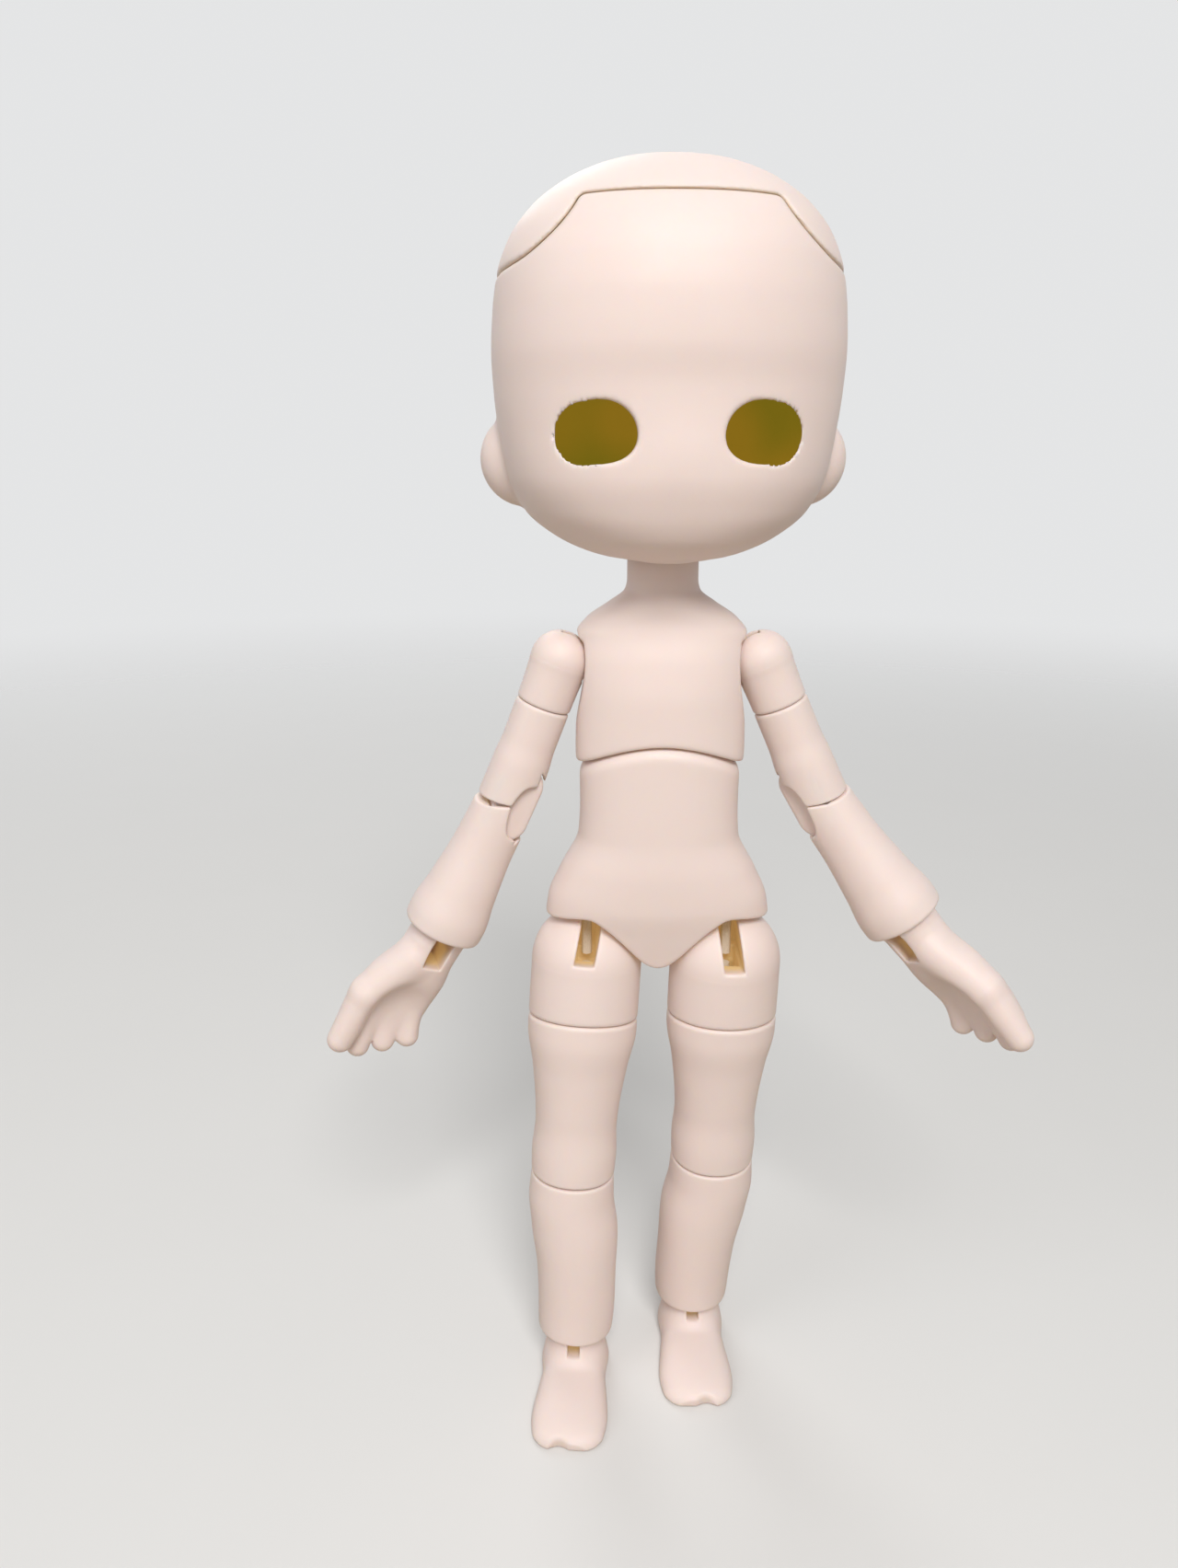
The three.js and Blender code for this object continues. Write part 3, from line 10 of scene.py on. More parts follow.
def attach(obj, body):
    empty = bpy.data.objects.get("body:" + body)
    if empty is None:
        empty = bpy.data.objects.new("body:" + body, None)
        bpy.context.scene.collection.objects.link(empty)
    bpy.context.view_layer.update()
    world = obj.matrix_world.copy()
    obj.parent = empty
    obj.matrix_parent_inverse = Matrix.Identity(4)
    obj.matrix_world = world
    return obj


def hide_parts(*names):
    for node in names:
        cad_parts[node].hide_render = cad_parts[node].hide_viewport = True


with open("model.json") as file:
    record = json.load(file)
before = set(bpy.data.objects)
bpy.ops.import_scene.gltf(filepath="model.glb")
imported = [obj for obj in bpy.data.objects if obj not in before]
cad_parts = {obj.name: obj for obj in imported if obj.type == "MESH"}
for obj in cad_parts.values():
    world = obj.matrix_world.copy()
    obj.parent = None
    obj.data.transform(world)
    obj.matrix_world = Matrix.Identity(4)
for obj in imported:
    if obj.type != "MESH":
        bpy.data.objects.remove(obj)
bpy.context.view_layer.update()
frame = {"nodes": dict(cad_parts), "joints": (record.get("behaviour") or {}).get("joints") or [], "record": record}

# Driving dimensions in millimetres and degrees. They are the CAD's, but some were fitted to the
# photograph after the last pack: the lower edge of the pelvis, the slots, the folds of the elbows,
# the forearms and hands, the eyes, the ears and the front of the cap's seam.
GAP, BORE, WIRE = 0.3, 2.6, 1.0
STRAND, HIP_BORE, HOOK_CHAMBER = 0.55, 1.8, 2.3
ANKLE_HEIGHT, SHIN_LENGTH, THIGH_LENGTH = 8.0, 23.6, 31.4
HIP_SPACING, HIP_BALL, HIP_SLOT_FOOT, HIP_SLOT_BACK, HIP_THROAT = 18.6, 7.35, 1.2, 2.8, 4.5
THIGH_SEAM, THIGH_SEAM_TILT, THIGH_TOP, THIGH_LOW = 8.2, 9, 7.4, 5.65
KNEE_RADIUS, KNEE_SPACING, KNEE_ROUND, KNEE_HALF, KNEE_BACK, KNEE_APEX = 6.0, 6.4, 4.1, 3.7, 1.5, 1.2
SHIN_BOW, SHIN_CORD_BEND, SHIN_TOP, SHIN_LOW = 1.8, 5.0, 6.1, 5.4
ANKLE_BALL, ANKLE_CUFF, FOOT_LENGTH, FOOT_WIDTH, HEEL, FOOT_SLOT = 4.45, 1.0, 20.5, 10.5, 4.9, 1.7
HIP_WIDTH, HIP_EDGE, FRONT_EDGE, CROTCH_TIP, CROTCH_HALF, HIP_SLOT_SLANT = 29.6, 6.7, 8.1, 0.4, 8.4, 9
BELLY_WIDTH, BELLY_DEPTH, HIP_DEPTH = 20.3, 13.6, 15.4
WAIST_HEIGHT, WAIST_CENTRE, WAIST_DOME, WAIST_HOLE = 29.6, 18.2, 13.5, 3.4
CHEST_WIDTH, CHEST_DEPTH, CHEST_WALL = 21.4, 13.4, 2.2
SHOULDER_HEIGHT, SHOULDER_SPACING, SHOULDER_TOP = 40.4, 25.2, 45.0
NECK_HEIGHT, NECK_BALL, NECK_WALL, NECK_FLARE, NECK_BASE = 54.0, 4.35, 1.5, 0.7, 5.6
SHOULDER_BALL, SHOULDER_SLOT = 3.75, 1.9
SHOULDER_DISH, SHOULDER_DISH_DEPTH, SHOULDER_DISH_TOP = 7.2, 1.0, 2.8
ARM_SEAM, ARM_TOP, SPIGOT, SPIGOT_LENGTH, THIGH_SPIGOT = 6.1, 3.45, 2.3, 1.3, 5.2
ARM_LOW, UPPER_ARM, ELBOW_SPACING, ELBOW_ROUND, ELBOW_HALF = 3.85, 19.2, 5.0, 2.75, 2.5
ELBOW_IN, ELBOW_OVER, ELBOW_TILT, ELBOW_NOTCH, ELBOW_NOTCH_LOW, FOLD = 0.75, 15, 8, 3.0, 4.0, 30
FOREARM, FOREARM_LOW, WRIST_BALL, WRIST_CUFF, HAND_SLOT_FOOT = 19.0, 5.35, 4.25, 1.3, 6.0
HOOK_HEIGHT, HAND_LENGTH, THUMB_SHORT, FINGER_STEP, FINGER_PITCH = 7.0, 22.96, 1.3, 1.6, 2.95
PALM_WIDTH, PALM_HOLLOW, FINGER = 10.8, (3.7, 2.6, 4.9), 1.55
HEAD_HEIGHT, CHIN_DROP, HEAD_WIDTH, FACE_DEPTH, HEAD_BACK, HEAD_WALL = 43.4, -1.1, 40.5, 18.6, 20.8, 1.9
NECK_SEAT, EYE_WELL, EYE_WELL_BACK = 6.6, 5.6, 7.1
EYE_WIDTH, EYE_HEIGHT, EYE_SPACING, EYE_LEVEL, EYE_EASE, EYE_DEEP = 8.0, 6.6, 16.0, 13.0, 0.55, 8
EAR_HEIGHT, EAR_LEVEL, EAR_PROUD, EAR_THICK, EAR_DEEP, EAR_BACK = 11.0, 10.4, 1.65, 5.4, 4.2, 1.2
CAP_LEVEL, CAP_TILT, MAGNET, MAGNET_THICK, MAGNET_SPACING, MAGNET_BACK = 30.9, 32, 2.0, 1.6, 29, 3.5
SEAM_LEVEL, BROW_TOP, BROW_FOOT, BROW_RISE, BROW_DEEP, BROW_ROUND = 29.8, 10.7, 16.6, 6.4, 13, 1.0
HOOK_SLOT_WIDTH, HOOK_SLOT_LENGTH = 2.6, 6.4
BAR = 0.6
HOOK_LOOP = BAR + GAP + WIRE / 2

# The pose of the photograph, in degrees: the swing of the right leg, the turn of the head, and each side
STEP, HEAD_TURN = 4.2, 2
POSE = {
    -1: dict(name="right", arm=21, elbow=6, fold=12, hand=20, lean=3.6, toe=4),
    1: dict(name="left", arm=24, elbow=15, fold=35, hand=50, lean=-1.2, toe=0),
}

MM = 0.001
SEAM = 0.05           # the visible gap at a seam, in millimetres; the CAD's is GAP

# How far edges are softened, in millimetres, by what they are the edges of
SPIGOT_EDGE, STEM_EDGE, BORE_EDGE, SLOT_EDGE, CUP_EDGE, FOLD_EDGE = 0.05, 0.1, 0.2, 0.25, 0.3, 0.35
EYE_EDGE, ARM_SEAM_EDGE, RIM_EDGE, LEG_SEAM_EDGE, LINK_EDGE = 0.4, 0.45, 0.5, 0.6, 0.7
CUFF_EDGE, DOME_EDGE, DISH_EDGE, NOTCH_EDGE, HEAD_EDGE = 0.8, 0.9, 0.35, 0.3, 0.35
# How widely forms of the head run into each other, in millimetres
HEAD_BLEND, WELL_BLEND, BROW_BLEND, SEAM_BLEND = 0.6, 0.8, 1.2, 1.5

# The spacing of the samples of each field, in millimetres
PELVIS_GRID, CHEST_GRID, ARM_GRID, FOREARM_GRID, ELBOW_LINK_GRID = 0.25, 0.22, 0.14, 0.15, 0.13
LEG_GRID, KNEE_LINK_GRID, FOOT_GRID, HEAD_GRID = 0.2, 0.16, 0.16, 0.3

# How often the points of a surface are evened out, and the least slope (squared) they are moved by
SETTLING, LEAST_SLOPE = 4, 0.05
# The depth at which the painted shade and painted glow of recesses start, and over which they reach full strength,
# in millimetres
RECESS_START, RECESS_SPAN = 0.2, 1.6
# How strongly the cap's seam takes the painted shade and painted glow of a recess, and how far from it, in
# millimetres
SEAM_PAINTED_SHADE, SEAM_PAINTED_SHADE_REACH = 0.6, 0.3
CORNERS = [(a, b, c) for a in (0, 1) for b in (0, 1) for c in (0, 1)]


def rad(a):
    return math.radians(a)


def smooth_min(a, b, k):
    h = np.clip(0.5 + 0.5 * (b - a) / k, 0, 1)
    return b + (a - b) * h - k * h * (1 - h)


def smooth_max(a, b, k):
    return -smooth_min(-a, -b, k)


def joined(k, first, *others):
    for other in others:
        first = smooth_min(first, other, k)
    return first


def cut(k, first, *others):
    for other in others:
        first = smooth_max(first, -other, k)
    return first


def slopes(places, values):
    chords = np.diff(values) / np.diff(places)
    out = [chords[0]]
    for a, b in zip(chords[:-1], chords[1:]):
        out.append(0.0 if a * b <= 0 else 2 * a * b / (a + b))
    return np.array(out + [chords[-1]])


def between(places, values, at):
    """The curve through the keys that never overshoots them, at the given places."""
    places, values = np.array(places, float), np.array(values, float)
    if places[0] > places[-1]:
        places, values = places[::-1], values[::-1]
    slope = slopes(places, values)
    at = np.clip(at, places[0], places[-1])
    i = np.clip(np.searchsorted(places, at, side="right") - 1, 0, len(places) - 2)
    span = places[i + 1] - places[i]
    t = (at - places[i]) / span
    return ((2 * t**3 - 3 * t**2 + 1) * values[i] + (t**3 - 2 * t**2 + t) * slope[i] * span
            + (3 * t**2 - 2 * t**3) * values[i + 1] + (t**3 - t**2) * slope[i + 1] * span)


class Space:
    """Sample points through a box, and distance fields on them: negative inside a form."""

    def __init__(self, low, high, step):
        self.low, self.step = np.array(low, float), step
        self.count = [int(math.ceil((b - a) / step)) + 1 for a, b in zip(low, high)]
        x, y, z = (np.float32(a) + np.float32(step) * np.arange(n, dtype=np.float32)
                   for a, n in zip(low, self.count))
        self.x, self.y, self.z = x[:, None, None], y[None, :, None], z[None, None, :]

    def ball(self, radius, x=0, y=0, z=0, stretch=(1, 1, 1)):
        a, b, c = stretch
        d = np.sqrt(((self.x - x) / a) ** 2 + ((self.y - y) / b) ** 2 + ((self.z - z) / c) ** 2)
        return (d - radius) * min(stretch)

    def block(self, x0, x1, y0, y1, z0, z1):
        d = np.maximum(np.abs(self.x - (x0 + x1) / 2) - (x1 - x0) / 2,
                       np.abs(self.y - (y0 + y1) / 2) - (y1 - y0) / 2)
        return np.maximum(d, np.abs(self.z - (z0 + z1) / 2) - (z1 - z0) / 2)

    def along(self, start, end):
        line = np.array(end, float) - np.array(start, float)
        length = float(np.linalg.norm(line))
        line = line / length
        px, py, pz = self.x - start[0], self.y - start[1], self.z - start[2]
        t = px * line[0] + py * line[1] + pz * line[2]
        away = np.sqrt(np.maximum(px * px + py * py + pz * pz - t * t, 0))
        return t, away, length

    def rod(self, radius, start, end, end_radius=None):
        t, away, length = self.along(start, end)
        end_radius = radius if end_radius is None else end_radius
        return np.maximum(away - (radius + (end_radius - radius) * t / length), np.maximum(-t, t - length))

    def finger(self, start, end, start_radius, end_radius):
        t, away, length = self.along(start, end)
        h = np.clip(t / length, 0, 1)
        radius = start_radius + (end_radius - start_radius) * h
        return np.sqrt(away * away + (t - h * length) ** 2) - radius

    def plane(self, point, normal):
        """Negative on the side away from the normal."""
        n = np.array(normal, float) / np.linalg.norm(normal)
        return (self.x - point[0]) * n[0] + (self.y - point[1]) * n[1] + (self.z - point[2]) * n[2]

    def loft(self, keys, squareness=2.2, forward=False, floor=0.0):
        """Sections along z, or along -y for a foot. Keys as in the CAD source."""
        full = []
        for key in keys:
            key = list(key) + [None] * (7 - len(key))
            z, half, front, back, x, y, square = key
            back = front if back is None else back
            full.append([z, half, front, back, x or 0, y or 0, square or squareness])
        places = [k[0] for k in full]
        u = self.x
        v, w = (self.z - floor, -self.y) if forward else (self.y, self.z)
        half, front, back, cx, cy, square = (
            between(places, [k[n] for k in full], w.astype(float)).astype(np.float32) for n in range(1, 7))
        dx, dy = np.abs(u - cx) / half, (v - cy)
        dy = np.where(dy < 0, -dy / front, dy / back)
        level = (dx**square + dy**square) ** (1 / square)
        size = np.minimum(half, (front + back) / 2)
        low, high = min(places), max(places)
        return np.maximum((level - 1) * size, np.maximum(low - w, w - high))

    def outline(self, points, sideways=False):
        """A flat outline in x and z, or in y and z, as long as the space in the third direction."""
        a = (self.y if sideways else self.x).reshape(-1, 1)
        b = self.z.reshape(1, -1)
        best = np.full((a.shape[0], b.shape[1]), 1e9)
        inside = np.zeros_like(best, bool)
        for (x0, y0), (x1, y1) in zip(points, points[1:] + points[:1]):
            dx, dy = x1 - x0, y1 - y0
            length = dx * dx + dy * dy
            if length < 1e-12:
                continue
            t = np.clip(((a - x0) * dx + (b - y0) * dy) / length, 0, 1)
            best = np.minimum(best, (a - x0 - t * dx) ** 2 + (b - y0 - t * dy) ** 2)
            if y0 != y1:
                inside ^= ((b >= min(y0, y1)) & (b < max(y0, y1))) & (a < x0 + (b - y0) / dy * dx)
        field = np.where(inside, -1, 1) * np.sqrt(best)
        return (field[None, :, :] if sideways else field[:, None, :]).astype(np.float32)


def bezier(p0, p1, p2, p3, n=14):
    t = np.linspace(0, 1, n + 1)[1:, None]
    p0, p1, p2, p3 = (np.array(p, float) for p in (p0, p1, p2, p3))
    curve = (1 - t) ** 3 * p0 + 3 * (1 - t) ** 2 * t * p1 + 3 * (1 - t) * t**2 * p2 + t**3 * p3
    return [tuple(p) for p in curve]


def sample(space, field, points):
    """The field and its slope at any points, read between the samples."""
    g = (points - space.low) / space.step
    i = np.clip(g.astype(int), 0, np.array(space.count) - 2)
    f = g - i
    corner = {(a, b, c): field[i[:, 0] + a, i[:, 1] + b, i[:, 2] + c].astype(float) for a, b, c in CORNERS}
    fx, fy, fz = f.T
    levels = []
    for c in (0, 1):
        near, far = (corner[0, b, c] * (1 - fx) + corner[1, b, c] * fx for b in (0, 1))
        levels.append(near * (1 - fy) + far * fy)
    return levels[0] * (1 - fz) + levels[1] * fz


def surface(space, field):
    """The quads of the zero surface: one point in each cell that it passes, moved onto it."""
    field = np.broadcast_to(field, space.count).astype(np.float32)
    inside = field < 0
    nx, ny, nz = space.count
    cells = np.zeros((nx - 1, ny - 1, nz - 1), np.int8)
    for a, b, c in CORNERS:
        cells += inside[a:nx - 1 + a, b:ny - 1 + b, c:nz - 1 + c]
    active = np.argwhere((cells > 0) & (cells < len(CORNERS)))
    number = np.full(cells.shape, -1, np.int64)
    number[tuple(active.T)] = np.arange(len(active))
    total, hits = np.zeros((len(active), 3)), np.zeros(len(active))
    for axis in range(3):
        others = [n for n in range(3) if n != axis]
        for p in (0, 1):
            for q in (0, 1):
                start = active.copy()
                start[:, others[0]] += p
                start[:, others[1]] += q
                end = start.copy()
                end[:, axis] += 1
                a, b = field[tuple(start.T)].astype(float), field[tuple(end.T)].astype(float)
                crossed = (a < 0) != (b < 0)
                t = np.where(crossed, a / np.where(crossed, a - b, 1), 0)
                point = start.astype(float)
                point[:, axis] += t
                total += np.where(crossed[:, None], point, 0)
                hits += crossed
    points = space.low + space.step * total / hits[:, None]
    quads = []
    for axis in range(3):
        b, c = (axis + 1) % 3, (axis + 2) % 3
        low = [slice(1, -1)] * 3
        high = [slice(1, -1)] * 3
        low[axis], high[axis] = slice(0, -1), slice(1, None)
        s0, s1 = inside[tuple(low)], inside[tuple(high)]
        at = np.argwhere(s0 != s1)
        flip = s1[tuple(at.T)]
        at = at + np.array([0 if n == axis else 1 for n in range(3)])
        ring = []
        for db, dc in ((-1, -1), (0, -1), (0, 0), (-1, 0)):
            cell = at.copy()
            cell[:, b] += db
            cell[:, c] += dc
            ring.append(number[tuple(cell.T)])
        ring = np.stack(ring, 1)
        ring[flip] = ring[flip][:, ::-1]
        quads.append(ring)
    quads = np.concatenate(quads)
    h = 0.5 * space.step
    for time in range(SETTLING):
        if time < SETTLING - 1:
            total, hits = np.zeros_like(points), np.zeros(len(points))
            for k in range(4):
                near = quads[:, (k + 1) % 4]
                for n in range(3):
                    total[:, n] += np.bincount(quads[:, k], points[near, n], len(points))
                hits += np.bincount(quads[:, k], minlength=len(points))
            points = 0.5 * points + 0.5 * total / np.maximum(hits, 1)[:, None]
        value = sample(space, field, points)
        slope = np.stack([sample(space, field, points + h * e) - sample(space, field, points - h * e)
                          for e in np.eye(3)], 1) / (2 * h)
        size = np.maximum((slope**2).sum(1), LEAST_SLOPE)
        points = points - np.clip((value / size), -space.step, space.step)[:, None] * slope
    return points, quads


def make_mesh(name, points, quads, depth, matrix, mirrored=False):
    if mirrored:
        points = points * np.array([-1.0, 1, 1])
        quads = quads[:, ::-1]
    world = (points @ matrix[:3, :3].T + matrix[:3, 3]) * MM
    mesh = bpy.data.meshes.new(name)
    mesh.vertices.add(len(world))
    mesh.vertices.foreach_set("co", world.astype(np.float32).ravel())
    mesh.loops.add(quads.size)
    mesh.loops.foreach_set("vertex_index", np.ascontiguousarray(quads).astype(np.int32).ravel())
    mesh.polygons.add(len(quads))
    mesh.polygons.foreach_set("loop_start", np.arange(0, quads.size, 4, dtype=np.int32))
    mesh.polygons.foreach_set("use_smooth", np.ones(len(quads), bool))
    mesh.update(calc_edges=True)
    mesh.validate()
    # The recess depth of each point, which paints shade and glow into the resin's recesses.
    recess_shade = mesh.attributes.new("recess_shade", "FLOAT", "POINT")
    recess_shade.data.foreach_set("value", np.clip((depth - RECESS_START) / RECESS_SPAN, 0, 1).astype(np.float32))
    obj = bpy.data.objects.new(name, mesh)
    bpy.context.scene.collection.objects.link(obj)
    return obj


def turned(x=0, y=0, z=0):
    m = Matrix.Rotation(rad(z), 4, "Z") @ Matrix.Rotation(rad(y), 4, "Y") @ Matrix.Rotation(rad(x), 4, "X")
    return np.array(m)


def moved(x, y, z):
    m = np.eye(4)
    m[:3, 3] = (x, y, z)
    return m


BODY_OF = {}
for body_name, members in frame["record"]["behaviour"]["bodies"].items():
    for member in members:
        BODY_OF[member] = body_name


def piece(node, shape, matrix, mirrored=False, look=None):
    """A fine surface that stands for a CAD node and moves with its body."""
    points, quads, depth = shape
    obj = make_mesh(node + "_fine", points, quads, depth, matrix, mirrored)
    obj.data.materials.append(look or resin)
    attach(obj, BODY_OF[node])
    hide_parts(node)


def shape_of(space, field, hull):
    """Points and quads of a field, and how deep each point lies below the uncut hull."""
    points, quads = surface(space, field)
    hull = np.broadcast_to(hull, space.count)
    return points, quads, -sample(space, hull, points)


# Materials
CREAM, PALE_CREAM = (0.825, 0.695, 0.655, 1), (0.868, 0.74, 0.7, 1)


def resin_material(name, inside, glow, glow_too, most_glow):
    """Cream resin. Recesses are painted towards the colour "inside", a painted shade, and carry a painted glow in
    two tones, as if lit through the walls.
    """
    mat = bpy.data.materials.new(name)
    mat.use_nodes = True
    nodes, links = mat.node_tree.nodes, mat.node_tree.links
    nodes.clear()

    def node(kind, **values):
        n = nodes.new(kind)
        for key, value in values.items():
            if key in n.inputs:
                n.inputs[key].default_value = value
            else:
                setattr(n, key, value)
        return n

    out = node("ShaderNodeOutputMaterial")
    bsdf = node("ShaderNodeBsdfPrincipled")
    links.new(bsdf.outputs["BSDF"], out.inputs["Surface"])
    place = node("ShaderNodeTexCoord")
    cloud = node("ShaderNodeTexNoise", Scale=55.0, Detail=3.0, Roughness=0.5)
    links.new(place.outputs["Object"], cloud.inputs["Vector"])
    fine = node("ShaderNodeTexNoise", Scale=2600.0, Detail=4.0, Roughness=0.6)
    links.new(place.outputs["Object"], fine.inputs["Vector"])
    wave = node("ShaderNodeTexNoise", Scale=260.0, Detail=2.0, Roughness=0.5)
    links.new(place.outputs["Object"], wave.inputs["Vector"])
    cream = node("ShaderNodeMix", data_type="RGBA")
    cream.inputs["A"].default_value, cream.inputs["B"].default_value = CREAM, PALE_CREAM
    links.new(cloud.outputs["Fac"], cream.inputs["Factor"])
    # Painted shade: the deeper a point lies in a recess, the more its colour turns to the darker ochre "inside".
    recess_shade = node("ShaderNodeAttribute", attribute_name="recess_shade")
    deep = node("ShaderNodeMix", data_type="RGBA")
    links.new(recess_shade.outputs["Fac"], deep.inputs["Factor"])
    links.new(cream.outputs["Result"], deep.inputs["A"])
    deep.inputs["B"].default_value = inside + (1,)
    links.new(deep.outputs["Result"], bsdf.inputs["Base Color"])
    # Painted glow: recesses emit light in two tones by their depth, though no lamp is there.
    recess_glow_strength = node("ShaderNodeMapRange")
    for key, value in {"From Min": 0.45, "From Max": 1.0, "To Min": 0.0, "To Max": most_glow}.items():
        recess_glow_strength.inputs[key].default_value = value
    links.new(recess_shade.outputs["Fac"], recess_glow_strength.inputs["Value"])
    links.new(recess_glow_strength.outputs["Result"], bsdf.inputs["Emission Strength"])
    patch = node("ShaderNodeTexNoise", Scale=70.0, Detail=1.0, Roughness=0.4)
    links.new(place.outputs["Object"], patch.inputs["Vector"])
    sharp = node("ShaderNodeMapRange")
    sharp.inputs["From Min"].default_value, sharp.inputs["From Max"].default_value = 0.4, 0.6
    links.new(patch.outputs["Fac"], sharp.inputs["Value"])
    recess_glow_colour = node("ShaderNodeMix", data_type="RGBA")
    recess_glow_colour.inputs["A"].default_value, recess_glow_colour.inputs["B"].default_value = glow + (1,), glow_too + (1,)
    links.new(sharp.outputs["Result"], recess_glow_colour.inputs["Factor"])
    links.new(recess_glow_colour.outputs["Result"], bsdf.inputs["Emission Color"])
    bsdf.inputs["Subsurface Weight"].default_value = 0.3
    bsdf.inputs["Subsurface Radius"].default_value = (1.0, 0.62, 0.3)
    bsdf.inputs["Subsurface Scale"].default_value = 0.0012
    bsdf.inputs["IOR"].default_value = 1.49
    rough = node("ShaderNodeMapRange")
    rough.inputs["To Min"].default_value = 0.46
    rough.inputs["To Max"].default_value = 0.6
    links.new(wave.outputs["Fac"], rough.inputs["Value"])
    links.new(rough.outputs["Result"], bsdf.inputs["Roughness"])
    both = node("ShaderNodeMath", operation="MULTIPLY_ADD")
    links.new(wave.outputs["Fac"], both.inputs[0])
    both.inputs[1].default_value = 3.0
    links.new(fine.outputs["Fac"], both.inputs[2])
    bump = node("ShaderNodeBump", Strength=0.12, Distance=0.00006)
    links.new(both.outputs["Value"], bump.inputs["Height"])
    links.new(bump.outputs["Normal"], bsdf.inputs["Normal"])
    return mat


def plain_material(name, color, roughness, metallic=0.0, grain=900.0, strength=0.1, spread=0.08):
    mat = bpy.data.materials.new(name)
    mat.use_nodes = True
    nodes, links = mat.node_tree.nodes, mat.node_tree.links
    bsdf = next(n for n in nodes if n.type == "BSDF_PRINCIPLED")
    place = nodes.new("ShaderNodeTexCoord")
    noise = nodes.new("ShaderNodeTexNoise")
    noise.inputs["Scale"].default_value = grain
    noise.inputs["Detail"].default_value = 4
    links.new(place.outputs["Object"], noise.inputs["Vector"])
    mix = nodes.new("ShaderNodeMix")
    mix.data_type = "RGBA"
    mix.inputs["A"].default_value = tuple(c * (1 - spread) for c in color) + (1,)
    mix.inputs["B"].default_value = tuple(min(1, c * (1 + spread)) for c in color) + (1,)
    links.new(noise.outputs["Fac"], mix.inputs["Factor"])
    links.new(mix.outputs["Result"], bsdf.inputs["Base Color"])
    bsdf.inputs["Roughness"].default_value = roughness
    bsdf.inputs["Metallic"].default_value = metallic
    bump = nodes.new("ShaderNodeBump")
    bump.inputs["Strength"].default_value = strength
    bump.inputs["Distance"].default_value = 0.0001
    links.new(noise.outputs["Fac"], bump.inputs["Height"])
    links.new(bump.outputs["Normal"], bsdf.inputs["Normal"])
    return mat


# Both resins paint shade and glow into their recesses: "inside" is the painted shade's colour, "glow" and
# "glow_too" are the painted glow's two tones, and its greatest strength is the last value. The head's hollows,
# seen through the eyes, take the darkest painted shade and the strongest painted glow.
resin = resin_material("cast_resin", inside=(0.66, 0.5, 0.27), glow=(0.24, 0.155, 0.06),
                       glow_too=(0.27, 0.18, 0.075), most_glow=0.6)
head_resin = resin_material("cast_resin_hollow_painted_glow", inside=(0.42, 0.31, 0.035), glow=(0.085, 0.08, 0.006),
                            glow_too=(0.15, 0.095, 0.008), most_glow=1.0)
elastic = plain_material("braided_elastic", (0.74, 0.71, 0.65), roughness=0.85, grain=4200, strength=0.6,
                         spread=0.12)
steel = plain_material("bent_wire", (0.55, 0.56, 0.57), roughness=0.32, metallic=1.0, grain=1500)
nickel = plain_material("nickel_disc", (0.66, 0.66, 0.67), roughness=0.2, metallic=1.0, grain=700)


# Pelvis
def pelvis_shape():
    s = Space((-17, -10, -2), (17, 10, 34), PELVIS_GRID)
    hip, belly, deep, flat = HIP_WIDTH / 2, BELLY_WIDTH / 2, HIP_DEPTH / 2, BELLY_DEPTH / 2
    form = s.loft([
        (CROTCH_TIP - 1, hip, deep - 3.3, deep - 2.6),
        (HIP_EDGE - 1.6, hip, deep - 1.7, deep - 0.4),
        (HIP_EDGE + 2.4, hip - 0.4, deep - 0.8, deep + 0.2),
        (HIP_EDGE + 6.5, hip - 2.1, flat + 0.25, deep - 0.3),
        (WAIST_CENTRE, belly + 0.2, flat, flat - 0.2),
        (WAIST_CENTRE + 4, belly, flat, flat - 0.3),
        (WAIST_HEIGHT + 3, belly + 0.2, flat, flat),
    ], 2.3)
    c, top = CROTCH_HALF, WAIST_HEIGHT + 9
    right, crease = [(0, CROTCH_TIP)], (c, FRONT_EDGE - 0.8)
    right += bezier((0, CROTCH_TIP), (2.6, CROTCH_TIP), (3.9, CROTCH_TIP + 4.2), crease)
    right += bezier(crease, (c + 1.6, FRONT_EDGE - 0.2), (hip - 2.5, HIP_EDGE), (hip + 2, HIP_EDGE - 0.2))
    right += [(hip + 2, top)]
    outline = right + [(-x, z) for x, z in right[:0:-1]]
    dome = np.minimum(s.ball(WAIST_DOME, z=WAIST_CENTRE), s.z - WAIST_CENTRE)
    hull = smooth_max(form, dome, DOME_EDGE)
    body = smooth_max(hull, s.outline(outline), RIM_EDGE)
    for side in (-1, 1):
        x = side * HIP_SPACING / 2
        bend = (x, 0, HIP_BALL + 3.4)
        body = cut(CUP_EDGE, body, s.ball(HIP_BALL + GAP, x))
        body = cut(BORE_EDGE, body, s.rod(HIP_BORE, (x, 0, 0), bend),
                   s.rod(HIP_BORE, bend, (side * STRAND, 0, WAIST_CENTRE + 2)), s.ball(HIP_BORE, *bend))
    through = s.rod(WAIST_HOLE, (0, 0, WAIST_CENTRE - 2), (0, 0, WAIST_CENTRE + WAIST_DOME + 2))
    body = cut(CUP_EDGE, body, through)
    return shape_of(s, body, hull)


